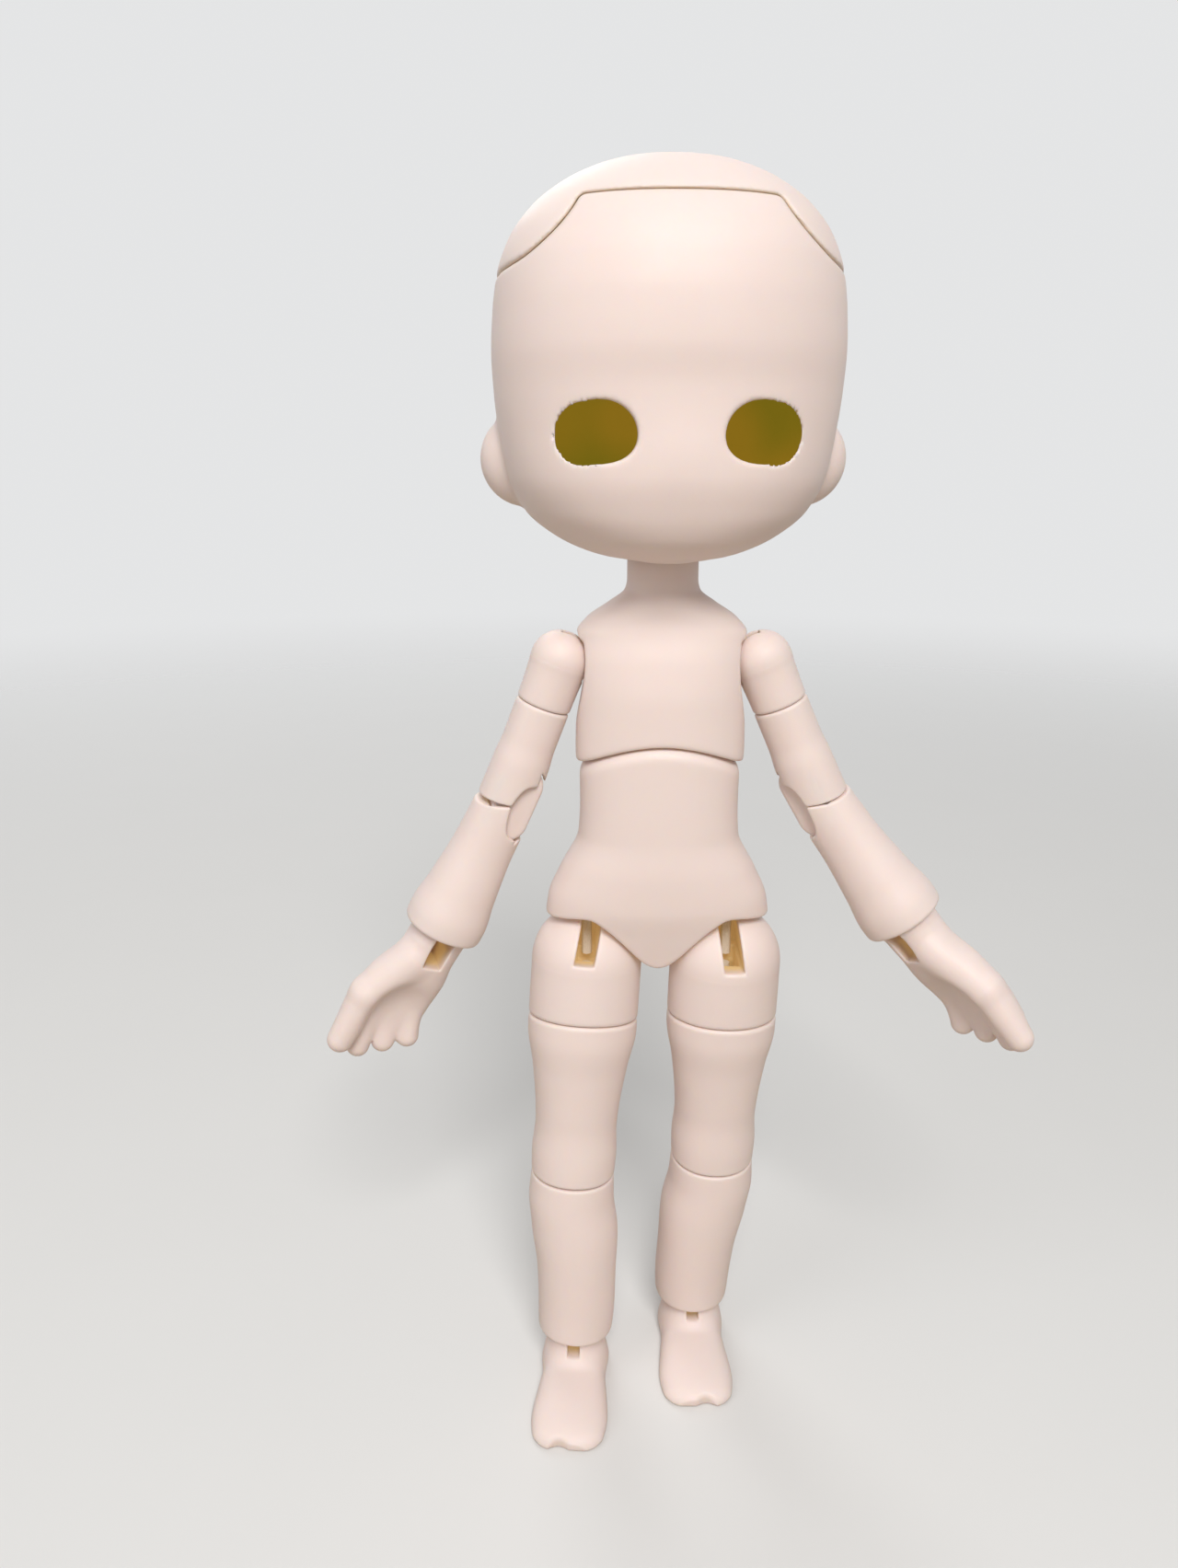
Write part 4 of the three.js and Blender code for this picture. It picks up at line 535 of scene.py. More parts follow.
# Chest
def chest_shape():
    half, deep = CHEST_WIDTH / 2, CHEST_DEPTH / 2
    bottom = WAIST_CENTRE + 8.0
    s = Space((-13, -9, bottom - 3), (13, 9, NECK_HEIGHT + 6), CHEST_GRID)
    form = s.loft([
        (bottom - 1.2, half - 1.0, deep - 1.0, deep - 1.2),
        (bottom + 0.6, half - 0.1, deep - 0.1, deep - 0.4),
        (bottom + 3, half, deep, deep - 0.2),
        (SHOULDER_HEIGHT - 5, half - 0.1, deep, deep),
        (SHOULDER_HEIGHT, half, deep - 0.5, deep),
        (SHOULDER_TOP - 1.2, half - 0.1, deep - 1.3, deep - 1.1),
        (SHOULDER_TOP + 0.8, half - 1.5, deep - 1.8, deep - 1.7),
        (SHOULDER_TOP + 2.6, NECK_BASE + 1.0, NECK_BASE - 0.95, NECK_BASE - 0.6, 0, 0, 2.1),
        (SHOULDER_TOP + 4.2, NECK_BALL + 0.25, NECK_BALL, NECK_BALL, 0, 0, 2),
        (SHOULDER_TOP + 5.4, NECK_BALL, NECK_BALL, NECK_BALL, 0, 0, 2),
        (NECK_HEIGHT, NECK_BALL, NECK_BALL, NECK_BALL, 0, 0, 2),
    ], 2.3)
    inside = s.loft([
        (WAIST_CENTRE + WAIST_DOME + 1.6, half - CHEST_WALL - 1.5, deep - CHEST_WALL - 1),
        (SHOULDER_HEIGHT - 3, half - CHEST_WALL - 0.8, deep - CHEST_WALL),
        (SHOULDER_TOP - 1.5, half - CHEST_WALL - 3, deep - CHEST_WALL - 1.8),
        (SHOULDER_TOP + 0.2, NECK_BASE - 2, NECK_BASE - 2.6),
    ])
    hull = smooth_min(form, s.ball(NECK_BALL, z=NECK_HEIGHT), STEM_EDGE)
    body = cut(DOME_EDGE, hull, s.ball(WAIST_DOME + GAP, z=WAIST_CENTRE))
    body = cut(CUP_EDGE, body, inside, s.rod(WAIST_HOLE, (0, 0, WAIST_CENTRE), (0, 0, SHOULDER_HEIGHT)))
    bore = NECK_BALL - NECK_WALL
    body = cut(CUP_EDGE, body, s.rod(bore, (0, 0, SHOULDER_HEIGHT), (0, 0, NECK_HEIGHT)),
               s.rod(bore, (0, 0, NECK_HEIGHT - 0.01), (0, 0, NECK_HEIGHT + NECK_BALL + 1), bore + 1.0))
    for side in (-1, 1):
        x = side * SHOULDER_SPACING / 2
        slope = (SHOULDER_DISH - SHOULDER_BALL) / SHOULDER_DISH_DEPTH
        dish = s.rod(SHOULDER_BALL, (side * (half - SHOULDER_DISH_DEPTH), 0, SHOULDER_HEIGHT),
                     (side * (half + 2), 0, SHOULDER_HEIGHT), SHOULDER_DISH + 2 * slope)
        dish = smooth_max(dish / math.hypot(1, slope), s.z - (SHOULDER_HEIGHT + SHOULDER_DISH_TOP), 0.6)
        body = cut(DISH_EDGE, body, s.ball(SHOULDER_BALL + GAP, x, 0, SHOULDER_HEIGHT), dish)
        body = cut(BORE_EDGE, body, s.rod(BORE / 2, (0, 0, SHOULDER_HEIGHT), (x, 0, SHOULDER_HEIGHT)))
    return shape_of(s, body, hull)


# Arms
def shoulder_shape():
    s = Space((-5, -5, -9), (5, 5, 5), ARM_GRID)
    reach = SHOULDER_BALL + 1
    stem = s.loft([(-0.5, SHOULDER_BALL - 0.05, SHOULDER_BALL - 0.05), (-3, ARM_TOP + 0.1, ARM_TOP + 0.1),
                   (-ARM_SEAM - 1, ARM_TOP, ARM_TOP)], 2)
    hull = smooth_min(s.ball(SHOULDER_BALL), stem, 0.15)
    body = smooth_max(hull, -ARM_SEAM + SEAM / 2 - s.z, ARM_SEAM_EDGE)
    spigot = s.rod(SPIGOT, (0, 0, -ARM_SEAM + 1), (0, 0, -ARM_SEAM - SPIGOT_LENGTH))
    body = smooth_min(body, spigot, SPIGOT_EDGE)
    slot = s.block(-reach, SHOULDER_SLOT / 2, -SHOULDER_SLOT / 2, SHOULDER_SLOT / 2, -1.6, reach)
    body = cut(SLOT_EDGE, body, s.rod(BORE / 2, (0, 0, 0), (0, 0, -ARM_SEAM - 2)), slot)
    return shape_of(s, body, hull)


def hinge_room(s, radius, half, back, height, lip):
    """The room for one end of an elbow's link, open towards the lip."""
    reach, half = radius + GAP, half + GAP
    drum = np.maximum(np.sqrt((s.x + back) ** 2 + (s.z - height) ** 2) - reach, np.abs(s.y) - half)
    low, high = min(lip, height), max(lip, height)
    return np.minimum(drum, s.block(-back - reach, -back + reach, -half, half, low, high))


def notch(s, u, apex, seam, up, angle):
    """The wedge that lets a leg fold towards -u."""
    w = up * (s.z - seam)
    slant = (u - apex) * math.cos(rad(angle)) + w * math.sin(rad(angle))
    return smooth_max(u - apex, slant, NOTCH_EDGE)


def fold_notch(s, seam, up, deep):
    """The curved notch that lets the elbow fold towards -x."""
    w, h, reach = ARM_LOW, up * deep, 12
    edge = [(0, seam - up * reach), (0, seam)]
    edge += bezier((0, seam), (-0.12 * w, seam + 0.75 * h), (-0.28 * w, seam + h), (-0.55 * w, seam + h))
    return s.outline(edge + [(-2 * w, seam + 1.08 * h), (-2 * w, seam - up * reach)])


def upper_arm_shape():
    hinge, lip = -UPPER_ARM + ELBOW_SPACING / 2, -UPPER_ARM + GAP / 2
    s = Space((-5, -5, lip - 2), (5, 5, -ARM_SEAM + 1), ARM_GRID)
    hull = s.loft([(-ARM_SEAM + 1, ARM_TOP, ARM_TOP), (-ARM_SEAM - 5, ARM_TOP, ARM_TOP + 0.05),
                   (hinge + ELBOW_ROUND, ARM_LOW - 0.2, ARM_LOW - 0.1), (lip - 0.9, ARM_LOW, ARM_LOW)], 2.1)
    tilt = rad(ELBOW_TILT)
    lean = s.plane((0, 0, lip), (math.sin(tilt), 0, math.cos(tilt)))
    socket = s.rod(SPIGOT + GAP, (0, 0, 0), (0, 0, -ARM_SEAM - SPIGOT_LENGTH - GAP))
    body = cut(ARM_SEAM_EDGE, hull, -s.z - ARM_SEAM - SEAM / 2)
    body = cut(BORE_EDGE, body, socket, s.rod(BORE / 2, (0, 0, 0), (-ELBOW_IN, 0, hinge)),
               hinge_room(s, ELBOW_ROUND, ELBOW_HALF, ELBOW_IN, hinge, lip - 2), lean)
    body = cut(FOLD_EDGE, body, fold_notch(s, lip, 1, ELBOW_NOTCH))
    return shape_of(s, body, hull)


def forearm_shape():
    lip, wrist = ELBOW_SPACING / 2 - GAP / 2, ELBOW_SPACING / 2 - FOREARM
    rim = wrist - WRIST_CUFF
    s = Space((-6.5, -6.5, rim - 1), (6.5, 6.5, lip + 2), FOREARM_GRID)
    hull = s.loft([(lip + 0.6, ARM_LOW, ARM_LOW), (-4, ARM_LOW + 0.15, ARM_LOW + 0.1),
                   (rim + 6.3, FOREARM_LOW - 0.65, FOREARM_LOW - 0.6),
                   (rim + 2, FOREARM_LOW - 0.05, FOREARM_LOW),
                   (rim, FOREARM_LOW - 0.1, FOREARM_LOW - 0.1)], 2.1)
    hull = smooth_max(hull, rim - s.z, CUFF_EDGE)
    tilt = rad(ELBOW_TILT + ELBOW_OVER)
    lean = s.plane((0, 0, lip), (-math.sin(tilt), 0, -math.cos(tilt)))
    chamber = s.rod(HOOK_CHAMBER, (0, 0, wrist), (0, 0, wrist + HOOK_HEIGHT + 1.5))
    mouth = s.rod(WRIST_BALL + GAP, (0, 0, wrist), (0, 0, rim - 1))
    body = cut(BORE_EDGE, hull, s.ball(WRIST_BALL + GAP, z=wrist), mouth, chamber,
               s.rod(BORE / 2, (-ELBOW_IN, 0, 0), (0, 0, wrist)),
               hinge_room(s, ELBOW_ROUND, ELBOW_HALF, ELBOW_IN, 0, lip + 2), lean)
    body = cut(FOLD_EDGE, body, fold_notch(s, lip, -1, ELBOW_NOTCH_LOW))
    return shape_of(s, body, hull)


def link_shape(radius, spacing, half, grid):
    reach = radius + 1
    s = Space((-reach, -half - 1, -spacing - reach), (reach, half + 1, reach), grid)
    t = np.clip(-s.z, 0, spacing)
    rounded = np.sqrt(s.x**2 + (s.z + t) ** 2) - radius
    hull = smooth_max(rounded, np.abs(s.y) - half, LINK_EDGE)
    upper = s.block(-reach, 0, -BORE / 2, BORE / 2, -radius * 0.45, reach)
    lower = s.block(-reach, 0, -BORE / 2, BORE / 2, -spacing - reach, -spacing + radius * 0.45)
    body = cut(SLOT_EDGE, hull, s.rod(BORE / 2, (0, 0, -spacing - reach), (0, 0, reach)), upper, lower)
    return shape_of(s, body, hull)


def hand_shape():
    s = Space((-6, -5.5, -HAND_LENGTH - 0.6), (9.6, 5.5, 5), ARM_GRID)
    half, tip = PALM_WIDTH / 2, -HAND_LENGTH + FINGER
    palm = s.loft([(-2, 3.7, 3.6), (-5, 3.8, 3.3, 3.3, 0.3), (-9.5, half - 0.3, 2.8, 2.9, 1.3, 0.1),
                   (-14, half, 1.9, 2.4, 1.9, 0.4), (tip + 3.4, half - 0.3, 1.5, 1.6, 2.0, 0.6),
                   (tip + 1.7, half - 2.0, 1.0, 1.0, 2.9, 0.3)], 2.4)
    knuckle = (5.9, -1.2, 0.6 * tip)
    root = s.finger((2.2, -0.9, -6.5), knuckle, 2.6, 2.2)
    thumb = s.finger(knuckle, (6.6, -1.7, tip + THUMB_SHORT), 2.2, FINGER + 0.2)
    form = joined(1.0, palm, joined(0.6, root, thumb))
    fingers = []
    for i in range(3):
        start, end = (3.6 - 2.4 * i, 0.3, 0.66 * tip), (3.3 - FINGER_PITCH * i, 0, tip + FINGER_STEP * i)
        fingers.append(s.finger(start, end, 0.8 * FINGER, FINGER))
    form = joined(0.6, form, joined(0.2, *fingers))
    hollow = s.ball(1, 0.9, -PALM_HOLLOW[1] - 0.7, 0.69 * tip, PALM_HOLLOW)
    form = smooth_max(form, -hollow, 1.2)
    hull = smooth_min(form, s.ball(WRIST_BALL), RIM_EDGE)
    reach = WRIST_BALL + 1
    slot = s.block(-BORE / 2, BORE / 2, -reach, HOOK_LOOP + WIRE / 2 + GAP, -HAND_SLOT_FOOT, reach)
    body = cut(SLOT_EDGE, hull, slot)
    body = smooth_min(body, s.rod(BAR, (-BORE / 2 - 0.5, 0, 0), (BORE / 2 + 0.5, 0, 0)), BORE_EDGE)
    return shape_of(s, body, hull)


# Legs
def tilted_drum(s, radius, low, high):
    tilt = rad(-THIGH_SEAM_TILT)
    up = np.array((0, -math.sin(tilt), math.cos(tilt)))
    at = np.array((0, 0, -THIGH_SEAM))
    return s.rod(radius, at + low * up, at + high * up)


def seam_plane(s, offset, above):
    tilt = rad(-THIGH_SEAM_TILT)
    sign = -1 if above else 1
    return s.plane((0, 0, -THIGH_SEAM + offset), (0, -math.sin(tilt) * sign, math.cos(tilt) * sign))


def hip_shape():
    s = Space((-8.5, -8.5, -12.5), (8.5, 8.5, 8.5), LEG_GRID)
    reach = HIP_BALL + 1
    stem = s.loft([(0, HIP_BALL, HIP_BALL), (-THIGH_SEAM + 3, THIGH_TOP, THIGH_TOP),
                   (-THIGH_SEAM - 2, THIGH_TOP, THIGH_TOP)], 2)
    hull = smooth_min(s.ball(HIP_BALL), stem, STEM_EDGE)
    body = cut(LEG_SEAM_EDGE, hull, seam_plane(s, SEAM / 2, False))
    body = smooth_min(body, tilted_drum(s, THIGH_SPIGOT, -SPIGOT_LENGTH, 1), SPIGOT_EDGE)
    slanted = s.x + (s.z - (HIP_SLOT_FOOT + HIP_BALL) / 2) * math.tan(rad(HIP_SLOT_SLANT))
    across = np.abs(slanted) - BORE / 2
    slot = np.maximum(across, s.block(-BORE, BORE, -reach, HIP_SLOT_BACK, HIP_SLOT_FOOT, reach))
    throat = s.block(-BORE / 2, BORE / 2, -HIP_THROAT, BORE / 2, -0.8, HIP_SLOT_FOOT + 1)
    body = cut(CUP_EDGE, body, s.rod(BORE / 2, (0, 0, 0), (0, 0, -THIGH_SEAM - 4)), slot, throat)
    return shape_of(s, body, hull)


def leg_room(s, height, lip):
    """The room for one end of a knee's link, open towards the lip."""
    reach, half = KNEE_ROUND + GAP, KNEE_HALF + GAP
    drum = np.maximum(np.sqrt((s.y - KNEE_BACK) ** 2 + (s.z - height) ** 2) - reach, np.abs(s.x) - half)
    low, high = min(lip, height), max(lip, height)
    return np.minimum(drum, s.block(-half, half, KNEE_BACK - reach, KNEE_BACK + reach, low, high))


def thigh_shape():
    hinge, lip = -THIGH_LENGTH + KNEE_SPACING / 2, -THIGH_LENGTH + SEAM / 2
    s = Space((-8.5, -8.5, lip - 1), (8.5, 8.5, -THIGH_SEAM + 3), LEG_GRID)
    hull = s.loft([(-THIGH_SEAM + 2, THIGH_TOP, THIGH_TOP), (-THIGH_SEAM - 1.5, THIGH_TOP, THIGH_TOP),
                   (-THIGH_SEAM - 7, THIGH_TOP - 0.9, THIGH_TOP - 0.7),
                   (-THIGH_SEAM - 13, THIGH_LOW + 0.15, THIGH_LOW + 0.5),
                   (hinge + KNEE_ROUND, THIGH_LOW, THIGH_LOW + 0.3), (hinge, KNEE_RADIUS - 0.1, KNEE_RADIUS),
                   (lip, KNEE_RADIUS - 0.2, KNEE_RADIUS - 0.1)], 2.1)
    hull = smooth_max(hull, lip - s.z, RIM_EDGE)
    socket = tilted_drum(s, THIGH_SPIGOT + GAP, -SPIGOT_LENGTH - GAP, 3)
    body = cut(LEG_SEAM_EDGE, hull, seam_plane(s, -SEAM / 2, True))
    body = cut(BORE_EDGE, body, socket, s.rod(BORE / 2, (0, 0, 0), (0, KNEE_BACK, hinge)),
               leg_room(s, hinge, lip - 2), notch(s, -s.y, -KNEE_APEX, lip, 1, FOLD))
    return shape_of(s, body, hull)


def shin_shape():
    lip, ankle = KNEE_SPACING / 2 - SEAM / 2, KNEE_SPACING / 2 - SHIN_LENGTH
    s = Space((-9, -7.5, ankle - ANKLE_CUFF - 1), (8, 7.5, lip + 1), LEG_GRID)
    bow = SHIN_BOW
    hull = s.loft([(lip, KNEE_RADIUS - 0.25, KNEE_RADIUS - 0.1), (0, KNEE_RADIUS - 0.05, KNEE_RADIUS),
                   (-5, SHIN_TOP, SHIN_TOP, SHIN_TOP, -0.4 * bow),
                   (-12, SHIN_LOW + 0.2, SHIN_LOW + 0.5, SHIN_LOW + 0.5, -0.8 * bow),
                   (ankle + 1, SHIN_LOW, SHIN_LOW + 0.1, SHIN_LOW + 0.1, -bow),
                   (ankle - ANKLE_CUFF, SHIN_LOW - 0.15, SHIN_LOW, SHIN_LOW, -bow)], 2.1)
    hull = smooth_max(smooth_max(hull, s.z - lip, RIM_EDGE), ankle - ANKLE_CUFF - s.z, LEG_SEAM_EDGE)
    mouth = s.rod(ANKLE_BALL + GAP, (-bow, 0, ankle), (-bow, 0, ankle - ANKLE_CUFF - 1))
    chamber = s.rod(HOOK_CHAMBER, (-bow, 0, ankle), (-bow, 0, ankle + HOOK_HEIGHT + 1.5))
    bend, foot = (0, KNEE_BACK, -SHIN_CORD_BEND), (-bow, 0, ankle + HOOK_HEIGHT + 1)
    body = cut(SLOT_EDGE, hull, s.ball(ANKLE_BALL + GAP, -bow, 0, ankle), mouth, chamber,
               s.rod(BORE / 2, (0, KNEE_BACK, 0), bend), s.ball(BORE / 2 + 0.1, *bend),
               s.rod(BORE / 2, bend, foot), leg_room(s, 0, lip + 2),
               notch(s, -s.y, -KNEE_APEX, lip, -1, FOLD))
    return shape_of(s, body, hull)


def foot_shape():
    low, toe, half = -ANKLE_HEIGHT, FOOT_LENGTH - HEEL, FOOT_WIDTH / 2
    s = Space((-6.5, -toe - 1, low - 1), (6.5, HEEL + 1.5, 5.5), FOOT_GRID)
    sole = [(-HEEL, 2.0, 1.6), (0.6 - HEEL, 3.5, 3.0), (-1, 4.2, 4.4), (2.5, 4.4, 4.4),
            (6, half - 0.4, 3.5), (toe - 5, half, 2.9), (toe - 2, half - 0.4, 2.3),
            (toe - 0.5, half - 1.5, 1.7), (toe, half - 2.6, 1.2)]
    form = s.loft([(z, a, 1, tall) for z, a, tall in sole], 2.4, forward=True, floor=low)
    neck = ANKLE_BALL - 0.3
    ankle = s.loft([(low + 1.5, neck + 0.5, neck + 0.9, neck + 0.6),
                    (low + 3.4, neck + 0.2, neck + 0.5, neck + 0.2),
                    (-2.6, neck - 0.1, neck, neck - 0.1), (-1.6, neck - 0.1, neck - 0.1, neck - 0.1)], 2)
    hull = joined(1.2, form, ankle)
    hull = smooth_min(hull, s.ball(ANKLE_BALL), STEM_EDGE)
    hull = smooth_max(hull, low - s.z, RIM_EDGE)
    gap = s.finger((1.1, -toe - 1, low - 1), (1.1, -toe - 1, 0), 1.5, 1.5)
    reach = ANKLE_BALL + 1
    slot = s.block(-FOOT_SLOT / 2, FOOT_SLOT / 2, -reach, HOOK_LOOP + WIRE / 2 + GAP, -3.4, reach)
    body = cut(SLOT_EDGE, cut(RIM_EDGE, hull, gap), slot)
    bar = s.rod(BAR, (-FOOT_SLOT / 2 - 0.5, 0, 0), (FOOT_SLOT / 2 + 0.5, 0, 0))
    body = smooth_min(body, bar, BORE_EDGE)
    return shape_of(s, body, hull)


# Head
# Sections of the head: the share of its height, and there of its half width, its front and its back
HEAD_ROWS = [
    (0, 0.2, 0.5, 0.1), (0.018, 0.42, 0.66, 0.35), (0.065, 0.65, 0.82, 0.61), (0.13, 0.82, 0.9, 0.78),
    (0.22, 0.92, 0.95, 0.89), (0.33, 0.965, 0.96, 0.96), (0.43, 0.99, 0.975, 0.99), (0.53, 1, 1, 1),
    (0.63, 0.988, 0.99, 0.985), (0.72, 0.96, 0.955, 0.95), (0.8, 0.895, 0.885, 0.875),
    (0.87, 0.78, 0.775, 0.765), (0.925, 0.625, 0.625, 0.615), (0.965, 0.44, 0.45, 0.44),
    (0.99, 0.235, 0.24, 0.24), (1, 0.05, 0.05, 0.05),
]


def head_form(s, inset):
    wide, front, back = HEAD_WIDTH / 2 - inset, FACE_DEPTH - inset, HEAD_BACK - inset - 0.08
    low, top = CHIN_DROP + inset, CHIN_DROP + HEAD_HEIGHT - inset
    rows = [(low + share * (top - low), a * wide, b * front, c * back) for share, a, b, c in HEAD_ROWS]
    return s.loft(rows, 2.25)


def face_relief(s):
    """How far the face rises from the plain form: a dip along the brow, full cheeks and a slight nose."""
    def bump(x, z, wide, tall):
        return np.exp(-((s.x - x) / wide) ** 2 - ((s.z - z) / tall) ** 2)
    rise = 0.2 * bump(0, 8.5, 11, 4.5) + 0.15 * bump(0, 11.0, 3.5, 3) - 0.25 * bump(0, 19, 12, 5)
    return rise * np.clip((-s.y - 6) / 5, 0, 1)


def eye_outline(side):
    """One eye opening, drawn smaller by the ease that its softened edge gives back."""
    w, h = EYE_WIDTH / 2 - EYE_EASE, EYE_HEIGHT / 2 - EYE_EASE / 3
    at = [(-w, -0.12 * h)]
    at += bezier((-w, -0.12 * h), (-w, 0.52 * h), (-0.5 * w, h), (0.06 * w, h))
    at += bezier((0.06 * w, h), (0.62 * w, h), (w, 0.62 * h), (w, 0.08 * h))
    at += bezier((w, 0.08 * h), (w, -0.48 * h), (0.58 * w, -h), (0, -h))
    at += bezier((0, -h), (-0.56 * w, -h), (-w, -0.66 * h), (-w, -0.12 * h))
    return [(side * (EYE_SPACING / 2 + x), EYE_LEVEL + z) for x, z in at[:-1]]


def cap_frame(s):
    """Coordinates in the seam plane of the cap's back: across, along and up."""
    t = rad(-CAP_TILT)
    z = s.z - CAP_LEVEL
    return s.x, s.y * math.cos(t) + z * math.sin(t), -s.y * math.sin(t) + z * math.cos(t)


def head_shapes():
    s = Space((-23, -20.5, -3.5), (23, 22.5, HEAD_HEIGHT), HEAD_GRID)
    u, v, w = cap_frame(s)
    outer = head_form(s, 0) - face_relief(s)
    drums, wells, ears = [], [], []
    for side in (-1, 1):
        drums.append(np.sqrt((u - side * MAGNET_SPACING / 2) ** 2 + (v - MAGNET_BACK) ** 2))
        wells.append(s.ball(EYE_WELL, side * EYE_SPACING / 2, -FACE_DEPTH + EYE_WELL_BACK, EYE_LEVEL))
        at = side * (HEAD_WIDTH / 2 + EAR_PROUD - EAR_THICK)
        ears.append(s.ball(1, at, EAR_BACK, EAR_LEVEL, (EAR_THICK, EAR_DEEP, EAR_HEIGHT / 2)))
    from_magnet = np.minimum(*drums) - MAGNET
    bosses = np.maximum(from_magnet - 1.0, np.abs(w) - MAGNET_THICK - 1.4)
    pockets = np.maximum(from_magnet - 0.1, np.abs(w) - MAGNET_THICK - GAP / 2 - 0.1)
    inside = joined(WELL_BLEND, head_form(s, HEAD_WALL), *wells)
    inside = cut(HEAD_BLEND, inside, s.ball(NECK_SEAT), bosses)
    hull = joined(HEAD_BLEND, outer, *ears)
    cup = s.ball(NECK_BALL + GAP)
    mouth = s.rod(NECK_BALL + GAP, (0, 0, 0), (0, 0, -NECK_BALL), (1 + NECK_FLARE) * NECK_BALL + GAP)
    across, along = HOOK_SLOT_WIDTH / 2, HOOK_SLOT_LENGTH / 2
    hook_slot = s.block(-across, across, -along, along, 0, NECK_SEAT + 2)
    body = cut(HEAD_EDGE, hull, inside, cup, mouth, hook_slot)
    front = s.y + FACE_DEPTH - EYE_DEEP
    for side in (-1, 1):
        body = cut(EYE_EDGE, body, np.maximum(s.outline(eye_outline(side)), front))
    shapes = []
    for above in (False, True):
        offset = SEAM / 2 if above else -SEAM / 2
        foot, top, rise = (size + offset - BROW_ROUND for size in (BROW_FOOT, BROW_TOP, BROW_RISE))
        wide, narrow = foot - 0.45 * (foot - top), foot - 0.78 * (foot - top)
        start = (foot + 3, -1.6)
        half = [(foot + 3, -4), start]
        half += bezier(start, (wide + 0.5, 0.1 * rise), (narrow, 0.58 * rise), (top, rise))
        both = half + [(-x, z) for x, z in half[::-1]]
        brow = s.outline([(x, z + SEAM_LEVEL) for x, z in both]) - BROW_ROUND
        brow = np.maximum(brow, s.y + FACE_DEPTH - BROW_DEEP)
        seam = smooth_max(s.z - SEAM_LEVEL - offset, w - offset, SEAM_BLEND)
        seam = smooth_min(seam, brow, BROW_BLEND)
        part = smooth_max(body, -seam if above else seam, RIM_EDGE)
        points, quads, depth = shape_of(s, cut(BORE_EDGE, part, pockets), hull)
        # The cap's seam is given a recess depth too, so that a painted shade and painted glow line it.
        from_seam = sample(s, np.broadcast_to(seam, s.count), points)
        tint = SEAM_PAINTED_SHADE * np.exp(-(from_seam / SEAM_PAINTED_SHADE_REACH) ** 2)
        shapes.append((points, quads, np.maximum(depth, tint)))
    return shapes


# Assembly, as in the CAD source: each frame's origin is a joint's centre
def leg_drop(side, lean, swing):
    across, turn = -side * SHIN_BOW, rad(-side * lean)
    down = THIGH_LENGTH + SHIN_LENGTH
    return math.sin(turn) * across + math.cos(turn) * down * math.cos(rad(swing))


def swing_for(side, lean, wanted):
    across, turn = -side * SHIN_BOW, rad(-side * lean)
    share = (wanted - math.sin(turn) * across) / (math.cos(turn) * (THIGH_LENGTH + SHIN_LENGTH))
    return math.degrees(math.acos(min(share, 1)))


drop = leg_drop(-1, POSE[-1]["lean"], STEP)
hips = ANKLE_HEIGHT + drop
waist = next(j for j in frame["joints"] if j["name"] == "waist_bend")
at_waist = Vector(waist["pos_m"]) / MM
shift = moved(at_waist.x, at_waist.y, at_waist.z - hips - WAIST_CENTRE)
doll = shift @ moved(0, 0, hips)
piece("pelvis", pelvis_shape(), doll)
piece("chest", chest_shape(), doll)
head = doll @ moved(0, 0, NECK_HEIGHT) @ turned(z=HEAD_TURN)
face_shape, cap_shape = head_shapes()
piece("face_shell", face_shape, head, look=head_resin)
piece("head_cap", cap_shape, head, look=head_resin)

shoulder, upper_arm, forearm, hand = shoulder_shape(), upper_arm_shape(), forearm_shape(), hand_shape()
elbow_link = link_shape(ELBOW_ROUND, ELBOW_SPACING, ELBOW_HALF, ELBOW_LINK_GRID)
hip, thigh, shin, foot = hip_shape(), thigh_shape(), shin_shape(), foot_shape()
knee_link = link_shape(KNEE_ROUND, KNEE_SPACING, KNEE_HALF, KNEE_LINK_GRID)
for side in (-1, 1):
    p, mirrored = POSE[side], side < 0
    n = p["name"]
    arm = doll @ moved(side * SHOULDER_SPACING / 2, 0, SHOULDER_HEIGHT) @ turned(y=-side * p["arm"])
    piece(f"shoulder_cap_{n}", shoulder, arm, mirrored)
    arm = arm @ turned(z=-side * p["fold"])
    piece(f"upper_arm_{n}", upper_arm, arm, mirrored)
    bend = turned(y=-side * p["elbow"] / 2)
    elbow = arm @ moved(-side * ELBOW_IN, 0, -UPPER_ARM + ELBOW_SPACING / 2) @ bend
    piece(f"elbow_link_{n}", elbow_link, elbow, mirrored)
    fore = elbow @ moved(0, 0, -ELBOW_SPACING) @ bend @ moved(side * ELBOW_IN, 0, 0)
    piece(f"forearm_{n}", forearm, fore, mirrored)
    wrist = fore @ moved(0, 0, ELBOW_SPACING / 2 - FOREARM) @ turned(z=-side * (p["hand"] - p["fold"]))
    piece(f"hand_{n}", hand, wrist, mirrored)
    swing = STEP if side < 0 else -swing_for(side, p["lean"], drop)
    leg = doll @ moved(side * HIP_SPACING / 2, 0, 0) @ turned(x=-swing, y=-side * p["lean"])
    piece(f"hip_ball_{n}", hip, leg, mirrored)
    piece(f"thigh_{n}", thigh, leg, mirrored)
    knee = leg @ moved(0, KNEE_BACK, -THIGH_LENGTH + KNEE_SPACING / 2)
    piece(f"knee_link_{n}", knee_link, knee @ turned(z=-90))
    shank = knee @ moved(0, 0, -KNEE_SPACING) @ moved(0, -KNEE_BACK, 0)
    piece(f"shin_{n}", shin, shank, mirrored)
    ankle = shank @ moved(-side * SHIN_BOW, 0, KNEE_SPACING / 2 - SHIN_LENGTH)
    level = np.eye(4)
    level[:3, 3] = ankle[:3, 3]
    piece(f"foot_{n}", foot, level @ turned(z=side * p["toe"]), mirrored)

